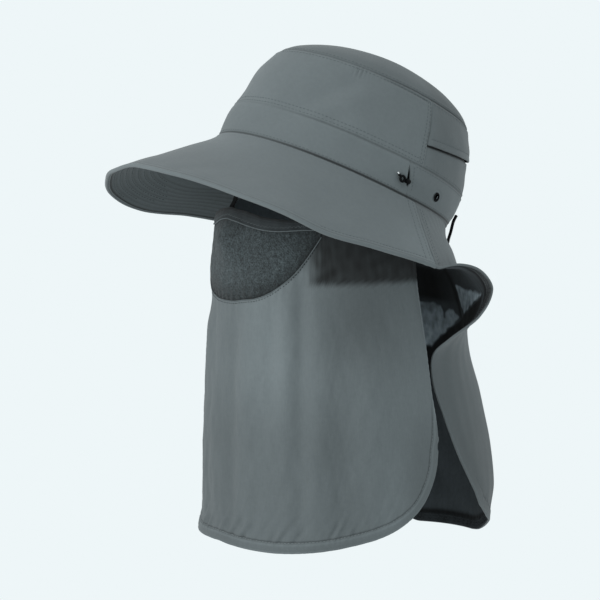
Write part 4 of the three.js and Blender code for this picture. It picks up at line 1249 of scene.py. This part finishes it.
# strap from the strip up to the inside of the crown's front
strap_path = np.array([[-4.2, -92.6, -18], [-3.6, -92.5, -13], [0.4, -91.5, -6.5], [1.8, -90.6, 4], [1.0, -89.9, 15],
                       [0.3, -89.4, 26], [0, -88.0, 40], [0, -85.6, 50]])
way = through(strap_path, 6)
w = np.linspace(-2.1, 2.1, 9)
strap_P = np.stack([np.stack([w + x, np.full(9, y), np.full(9, z)], -1) for x, y, z in way])
strap = shell("nose_strap_tape", strap_P, 1.1, ["black_tape", "black_tape"], flip=bool(normals_of(strap_P)[..., 1].mean() > 0))
settle(strap, ["nose_strap"])


# ------------------------------------------------------------------ neck flap
u_flap = np.concatenate([np.linspace(-1, -0.936, 16), np.linspace(-0.925, -0.44, 38), np.linspace(-0.43, 0.50, 94),
                         np.linspace(0.51, 0.92, 44), np.linspace(0.928, 1, 20)])
mid_f = int(np.argmin(np.abs(u_flap)))
v_flap = np.concatenate([np.linspace(0.004, 0.2, 20), np.linspace(0.21, 0.34, 20), np.linspace(0.3445, 0.63, 66),
                         np.linspace(0.638, 0.955, 42), np.linspace(0.96, 1, 14)])
UF, VF = np.meshgrid(u_flap, v_flap)
side_f = np.where(UF < 0, -1.0, 1.0)
turn_up = np.where(UF > 0, 0.013 * ramp(UF, 0.12, 0.6) + 0.030 * np.clip((UF - 0.80) / 0.20, 0, 1) ** 2,
                   0.062 * np.clip((-UF - 0.72) / 0.28, 0, 1) ** 2.2)
trim_f = 1 - 0.038 * bump(VF - 0.655, 0.07) - 0.016 * bump(VF - 0.75, 0.09)
base_flap = flap_at(np.abs(UF) * trim_f, VF * (1 - turn_up * ramp(VF, 0.86, 1.0)), side_f)
Nf = normals_of(base_flap)
Nf = Nf * (1 if (Nf[:, mid_f, 1].mean() > 0) else -1)
low_edge = VF[:, 0] > 0.235
borders = np.concatenate([resample(base_flap[low_edge][:, 0], 0.8)[0], resample(base_flap[low_edge][:, -1], 0.8)[0], resample(base_flap[-1], 0.8)[0]])
edge_f = distance_to(base_flap, borders)
T = np.abs(UF)
arc_f = np.concatenate([np.zeros((len(v_flap), 1)), np.cumsum(np.linalg.norm(np.diff(base_flap, axis=1), axis=-1), axis=1)], axis=1)
arc_f -= arc_f[:, mid_f][:, None]
down = 240 * VF
lift_f = 1.3 * waves(71, arc_f, down * 0.28, size=58) * ramp(VF, 0.12, 0.4) + 0.25 * waves(72, arc_f, down * 0.5, size=17) * ramp(VF, 0.05, 0.3)
lift_f = lift_f - 1.4 * bump(arc_f - 42, 9) * ramp(VF, 0.3, 0.6) - 1.2 * bump(arc_f + 47, 10) * ramp(VF, 0.35, 0.6) + 1.2 * bump(arc_f, 14) * ramp(VF, 0.35, 0.7)
lift_f = lift_f + 2.2 * ramp(VF, 0.60, 0.70) * (1 - ramp(VF, 0.90, 0.97)) * bump(UF - 0.35, 0.45)
lift_f = lift_f * ramp(edge_f, 0, 14)
# small gathers under the crown's base seam
lift_f = lift_f - 2.3 * bump(VF - 0.07, 0.055) * (bump(UF - 0.45, 0.28) + bump(UF + 0.45, 0.28))
lift_f = lift_f + 0.10 * np.sin(arc_f * 2 * np.pi / 9.5 + 1.5 * np.sin(arc_f * 0.07)) * bump(VF - 0.03, 0.09) * ramp(VF, 0.0, 0.02)
HEM_F = 7.0
hem_out = ramp(VF, 0.90, 0.95)
lift_f = lift_f + (0.45 * (1 - ramp(edge_f, HEM_F - 0.2, HEM_F + 0.7)) - 0.5 * bump(edge_f - HEM_F, 0.55)) * hem_out
lift_f = lift_f + 0.20 * np.sin(arc_f * 2 * np.pi / 5.0) * bump(edge_f - HEM_F, 2.6) * ramp(VF, 0.9, 0.97)
P_flap = base_flap + Nf * lift_f[..., None]
wall_f = np.full(P_flap.shape[:2], CLOTH - 0.4) + 0.55 * (1 - ramp(edge_f, HEM_F - 0.2, HEM_F + 0.6)) - 0.25 * bump(edge_f - HEM_F - 0.4, 0.6)
# painted shade: the flap's outside darker downwards where it turns from the key light, in its hem's stitch groove and
# at its top seam, with a painted highlight along its cut edge
tone_f = (0.86 - 0.17 * ramp(VF, 0.15, 0.50) - 0.05 * ramp(VF, 0.62, 0.85)) * (1 - 0.28 * bump(edge_f - HEM_F - 0.5, 0.8) * hem_out)
tone_f = tone_f * (1 - 0.09 * ramp(VF, 0.70, 0.90)) * (1 - 0.4 * bump(VF - 0.004, 0.006)) * (1 + 0.30 * (edge_f < 0.5) * (VF > 0.45))
# inside: a second seam band, and patches of painted light between folds of painted shade near the flare
tone_fi = 1 + 0.10 * cell_noise(73, base_flap, 22) + 0.05 * waves(74, arc_f, down * 0.15, size=6)
hem_low_in = ramp(-base_flap[..., 2], 190, 215)
lit_patch_fray = 0.9 * cell_noise(77, base_flap, 9)


def inside_of(u, v, corners, soft):
    """1 inside a patch with the given corners (columns u, v), 0 outside it; soft is in mm."""
    x, y = u * 163.0, v * 250.0
    c = np.array(corners) * [163.0, 250.0]
    near, odd = np.full(x.shape, 1e9), np.zeros(x.shape, bool)
    for (x0, y0), (x1, y1) in zip(c, np.roll(c, -1, axis=0)):
        k = np.clip(((x - x0) * (x1 - x0) + (y - y0) * (y1 - y0)) / ((x1 - x0) ** 2 + (y1 - y0) ** 2), 0, 1)
        near = np.minimum(near, np.hypot(x - x0 - k * (x1 - x0), y - y0 - k * (y1 - y0)))
        with np.errstate(divide="ignore", invalid="ignore"):
            odd ^= ((y0 > y) != (y1 > y)) & (x < x0 + (y - y0) * (x1 - x0) / (y1 - y0))
    return ramp(np.where(odd, near, -near) + lit_patch_fray, -soft, soft)


LIT_PATCH_A = [(0.213, 0.373), (0.447, 0.391), (0.75, 0.409), (0.83, 0.420), (0.643, 0.446), (0.403, 0.478), (0.307, 0.455), (0.25, 0.415)]
LIT_PATCH_B = [(-0.60, 0.470), (-0.23, 0.462), (-0.12, 0.460), (-0.03, 0.466), (-0.01, 0.512), (0.03, 0.490), (0.075, 0.470),
           (0.147, 0.480), (0.235, 0.500), (0.023, 0.547), (-0.107, 0.582), (-0.20, 0.610), (-0.60, 0.610)]
# painted light on two patches of the inside, with ragged edges and a mottled tone
lit_patch_a = inside_of(UF, VF, LIT_PATCH_A, 1.3)
lit_patch_b = inside_of(UF, VF, LIT_PATCH_B, 1.3) * (0.70 + 0.30 * ramp(VF, 0.475, 0.56))
# painted shade along a diagonal fold and over a deep part of the inside above the flare
along_f = np.clip(((UF - 0.08) * 0.20 + (VF - 0.29) * 1.5 * 0.30) / (0.20 ** 2 + 0.30 ** 2), 0, 1)
fold_f = np.hypot(UF - 0.08 - 0.20 * along_f, (VF - 0.29 - 0.20 * along_f) * 1.5)
inner_mottle = 1 + 0.30 * cell_noise(75, base_flap, 8) + 0.16 * cell_noise(76, base_flap, 3.2)
tone_fi = tone_fi * (1 + (7.6 * lit_patch_a + 5.9 * lit_patch_b) * inner_mottle) * (1 - 0.90 * bump(fold_f, 0.024))
tone_fi = tone_fi * (1 - 0.93 * bump(UF + 0.12, 0.28) * (1 - ramp(VF, 0.43, 0.462)) * ramp(VF, 0.24, 0.30))
# the shadow under the flare's lower edge
low_line = np.interp(UF, [-0.60, -0.20, -0.107, 0.05, 0.263, 0.40, 0.63, 0.81, 0.88], [0.612, 0.612, 0.584, 0.546, 0.508, 0.482, 0.461, 0.430, 0.405])
under_edge = ramp(VF - low_line, -0.004, 0.004) * (1 - ramp(VF, 0.665, 0.70)) * (1 - ramp(UF, 0.84, 0.88))
tone_fi = tone_fi * (1 - 0.88 * under_edge)
# a painted highlight beside a seam on the inside, and painted shade in its groove
seam_a = np.abs((VF - 0.362) - (UF - 0.73) * 0.42)
tone_fi = tone_fi * (1 + 0.9 * bump(seam_a - 0.007, 0.0035) * ramp(UF, 0.55, 0.62)) * (1 - 0.6 * bump(seam_a, 0.004) * ramp(UF, 0.55, 0.62))
# painted shade: a dark band along the inside of the hem
tone_fi = tone_fi * (1 - 0.85 * bump(edge_f - HEM_F - 2.2, 2.0))
# the hem's inside is painted dark as shade, with a painted highlight at its very edge
low_hem = ramp(VF, 0.405, 0.43)
hem_shade = 0.21 * inner_mottle * (1 - 0.80 * low_hem * ramp(edge_f, 2.2, 3.4)) * (1 + 0.5 * low_hem * (edge_f < 2.2))
hem_shade = np.where(VF > 0.8, 0.45 * inner_mottle, hem_shade)
tone_fi = np.where(edge_f < HEM_F + 0.2, hem_shade, tone_fi)
# painted shade beside the hem's stitch line
tone_fi = tone_fi * (1 - 0.6 * bump(edge_f - HEM_F - 0.9, 0.9))
flap = shell("neck_flap_cloth", P_flap, wall_f, ["grey_cloth", "shaded_inside_cloth"],
             flip=bool(normals_of(P_flap)[:, mid_f, 1].mean() < 0), tone=tone_f, tone_in=tone_fi,
             inner_hem=(edge_f < HEM_F) & (VF < 0.8))
settle(flap, ["neck_flap"])


# ------------------------------------------------------------------ stitches
def iso_line(P, field, value, keep=None):
    """Points of a grid surface where field crosses value, by column, in the columns' order."""
    out = []
    for c in range(P.shape[1]):
        f = field[:, c] - value
        hit = np.where((f[:-1] * f[1:] <= 0) & (f[:-1] != f[1:]))[0]
        if len(hit):
            r = hit[-1]
            k = f[r] / (f[r] - f[r + 1])
            p = P[r, c] * (1 - k) + P[r + 1, c] * k
            if keep is None or keep(p):
                out.append(p)
    return np.array(out)


def iso_rows(P, field, value, last=True):
    out = []
    for r in range(P.shape[0]):
        f = field[r] - value
        hit = np.where((f[:-1] * f[1:] <= 0) & (f[:-1] != f[1:]))[0]
        if len(hit):
            c = hit[-1] if last else hit[0]
            k = f[c] / (f[c] - f[c + 1])
            out.append(P[r, c] * (1 - k) + P[r, c + 1] * k)
    return np.array(out)


side_tree, tip_tree = tree_of(side_panel), tree_of(tip)
upper_tree, lower_tree = tree_of(upper_panel), tree_of(lower_panel)
bandf_tree, bandr_tree = tree_of(band_front), tree_of(band_rear)
dcol = np.linspace(-96.2, 96.2, 400)
crown_line = lambda d, up: crown_surface(d, np.full_like(d, up) if np.isscalar(up) else up)
# double rows beside the tip seam and the band seam
stitch_line("sewn_crown", side_tree, crown_line(dcol, H_TIP - 2.2))
stitch_line("sewn_crown", tip_tree, crown_line(np.linspace(0, 360, 700), H_TIP + 2.0))
stitch_line("sewn_crown", side_tree, crown_line(dcol, H_BAND + 2.1))
stitch_line("sewn_crown", side_tree, crown_line(dcol, H_BAND + 5.0))
bd = np.linspace(-90, 90, 380)
stitch_line("sewn_crown", bandf_tree, crown_line(bd, 1.9))
rd = np.linspace(92.8, 267.2, 360)
stitch_line("sewn_crown", bandr_tree, crown_line(rd, 1.9))
stitch_line("sewn_crown", bandr_tree, crown_line(rd, H_BAND - 2.0))
bk = np.linspace(97.8, 262.2, 340)
stitch_line("sewn_crown", lower_tree, crown_line(bk, H_BAND + 2.1))
stitch_line("sewn_crown", upper_tree, crown_line(bk, H_TIP - 2.2))
stitch_line("sewn_crown", upper_tree, crown_surface(bk, slot_at(bk) + 4.6, 0.0, upper_lift(bk, slot_at(bk) + 4.6)))
for sgn in (1, -1):
    zz = np.linspace(H_BAND + 1.5, H_TIP - 1.5, 60)
    for off, tr in ((-1.0, side_tree), (-2.9, side_tree)):
        stitch_line("sewn_crown", tr, crown_surface(np.full_like(zz, sgn * (BACK_PANEL + off)), zz))
    z2 = np.linspace(5.0, 23.5, 30)
    stitch_line("sewn_crown", bandr_tree, crown_surface(sgn * (slit_centre(z2) + 2.6), z2), pitch=2.6, length=1.9)

# brim: the row by the rim and the two rows at each end
top_tree, under_tree, edge_tree = tree_of(brim_top), tree_of(brim_under), tree_of(brim_edge)
bd2 = np.linspace(-96, 96, 700)
rim_row = brim_at(bd2, 1 - 6.6 / brim_width(bd2))
stitch_line("sewn_brim", top_tree, rim_row, side=(0, 0, 0.0))
for sgn in (1, -1):
    s2 = np.linspace(0.03, 0.93, 60)
    for off in (6.0, 2.0):
        stitch_line("sewn_brim", top_tree, brim_at(sgn * (BRIM_END - off / (1.5 + 0.6 * s2)), s2))
for row in ROWS_UNDER:
    line = brim_at(bd2, 1 - row / brim_width(bd2)) - tipped(0, 0, 2.9)
    stitch_line("sewn_under", under_tree, line, pitch=3.6, length=2.6)

# cover: hem, and both edges of the patch
cover_tree, patch_tree, strip_tree = tree_of(cover), tree_of(patch), tree_of(strip)
hem_iso = iso_line(P_cover, edge_mm - hem_w, 0.1, keep=None)
low_rows = V[:, 0]
left = iso_rows(P_cover, edge_mm - hem_w, 0.1, last=False)
right = iso_rows(P_cover, edge_mm - hem_w, 0.1, last=True)
bottom = np.array([p for p in hem_iso if p[2] < -226])
left_up = np.array([p for p in left if -226 <= p[2] < -160 and p[0] < 0])
right_up = np.array([p for p in right if -226 <= p[2] < -160 and p[0] > 0])
for line in (bottom, left_up, right_up):
    if len(line) > 3:
        stitch_line("sewn_cover", cover_tree, line, pitch=2.7, length=2.0, thick=0.4)
pd = np.linspace(-52.5, 52.5, 300)
zq = column(PATCH, np.abs(pd), 2)
stitch_line("sewn_patch", cover_tree, cover_at(pd, zq - 1.9), pitch=2.5, length=1.55, thick=0.5)
zig = np.linspace(-50, 50, 260)
zz2 = column(PATCH, np.abs(zig), 1) + 2.6
stitch_line("sewn_strip", strip_tree, cover_at(zig, zz2), pitch=1.55, length=1.35, thick=0.42, zigzag=0.8)

# flap: hem rows on the outside and the inside, and the seam with the brim's end
flap_tree = tree_of(flap)
hem_f = iso_line(P_flap, edge_f, HEM_F)
bottom_f = np.array([p for p in hem_f if p[2] < -215])
inside_grid = P_flap - normals_of(P_flap)[..., :] * 0
for line in (bottom_f,):
    if len(line) > 3:
        stitch_line("sewn_flap", flap_tree, line, pitch=2.8, length=2.1)
left_f = iso_rows(P_flap, edge_f, HEM_F, last=False)
right_f = iso_rows(P_flap, edge_f, HEM_F, last=True)
inner_f = base_flap + Nf * (lift_f - wall_f - 0.2)[..., None]
for depth, pitch, length, thick, swing in ((HEM_F - 0.6, 2.8, 2.1, 0.6, 0.0), (2.1, 2.3, 2.0, 0.62, 0.9), (4.3, 2.3, 2.0, 0.62, 0.9)):
    rows_in = [iso_rows(inner_f, edge_f, depth, last=False), iso_rows(inner_f, edge_f, depth, last=True)]
    rows_in = [np.array([p for p in line if -262 < p[2]]) for line in rows_in]
    rows_in.append(np.array([p for p in iso_line(inner_f, edge_f, depth) if p[2] < -215]))
    for line in rows_in:
        if len(line) > 3:
            stitch_line("sewn_inside", flap_tree, line, pitch=pitch, length=length, thick=thick, zigzag=swing)
for sgn in (1, -1):
    vs = np.linspace(0.02, 0.235, 60)
    for back in (0.028, 0.055):
        stitch_line("sewn_flap", flap_tree, flap_at(1 - back, vs, sgn))

look = {"sewn_crown": "thread_mid", "sewn_brim": "thread_soft", "sewn_under": "thread_under", "sewn_cover": "thread_light",
        "sewn_patch": "thread_dark", "sewn_strip": "piping_light", "sewn_flap": "thread_mid", "sewn_inside": "thread_inner"}
for group, (verts, quads) in STITCHES.items():
    v = np.concatenate(verts)
    q = np.concatenate([np.array(x) for x in quads])
    ob = mesh_object(group, v, q, mats=[look[group]], uv=np.zeros((len(v), 2)), attrs={"tone": np.ones(len(v))})
    settle(ob, ())


# ------------------------------------------------------------------ camera, light, backdrop
AZ, EL, DIST, TX, TY, F = math.radians(57), math.radians(6.5), 1.575, -0.028, -0.0875, 2051.28
back = Vector((math.sin(AZ) * math.cos(EL), -math.cos(AZ) * math.cos(EL), math.sin(EL)))
right = Vector((math.cos(AZ), math.sin(AZ), 0.0))
up = back.cross(right)
cam_data = bpy.data.cameras.new("camera")
cam_data.sensor_width = 36.0
cam_data.lens = F * 36.0 / 600.0
cam_data.clip_start, cam_data.clip_end = 0.05, 50.0
cam = bpy.data.objects.new("camera", cam_data)
bpy.context.scene.collection.objects.link(cam)
place = Matrix((right, up, back)).transposed().to_4x4()
place.translation = right * TX + up * TY + back * DIST
cam.matrix_world = place
bpy.context.scene.camera = cam


def area_light(name, direction, distance, size, power, colour=(1, 1, 1)):
    data = bpy.data.lights.new(name, "AREA")
    data.shape = "DISK"
    data.size = size
    data.energy = power
    data.color = colour
    ob = bpy.data.objects.new(name, data)
    bpy.context.scene.collection.objects.link(ob)
    d = (right * direction[0] + up * direction[1] + back * direction[2]).normalized()
    centre = Vector((0.01, 0.02, -0.09))
    ob.location = centre + d * distance
    ob.rotation_mode = "QUATERNION"
    ob.rotation_quaternion = d.to_track_quat("Z", "Y")
    return ob


area_light("key", (-0.95, 0.32, 0.80), 1.9, 1.2, 21.0, (1.0, 1.0, 1.0))
area_light("fill", (0.1, -0.25, 1.0), 2.3, 1.6, 3.0, (0.97, 1.0, 1.0))

world = bpy.data.worlds.new("studio")
world.use_nodes = True
world.node_tree.nodes["Background"].inputs[0].default_value = srgb(238, 246, 248)
world.node_tree.nodes["Background"].inputs[1].default_value = 1.0
bpy.context.scene.world = world

# a plain pale floor, far below the hat and of the same tone as the backdrop
glow = bpy.data.materials.new("pale_floor")
glow.use_nodes = True
glow.node_tree.nodes.clear()
shine = glow.node_tree.nodes.new("ShaderNodeEmission")
shine.inputs[0].default_value = srgb(238, 246, 248)
shine.inputs[1].default_value = 1.0
glow.node_tree.links.new(shine.outputs[0], glow.node_tree.nodes.new("ShaderNodeOutputMaterial").inputs[0])
glow.cycles.emission_sampling = "NONE"
MATERIALS["pale_floor"] = glow
floor = mesh_object("floor", np.array([[-3e4, -3e4, -2700], [3e4, -3e4, -2700], [3e4, 3e4, -2700], [-3e4, 3e4, -2700]]),
                    np.array([[0, 1, 2, 3]]), mats=["pale_floor"], smooth=False)

sc = bpy.context.scene
sc.view_settings.view_transform = "Standard"
sc.view_settings.look = "None"
sc.view_settings.exposure = 0.0
sc.view_settings.gamma = 1.0
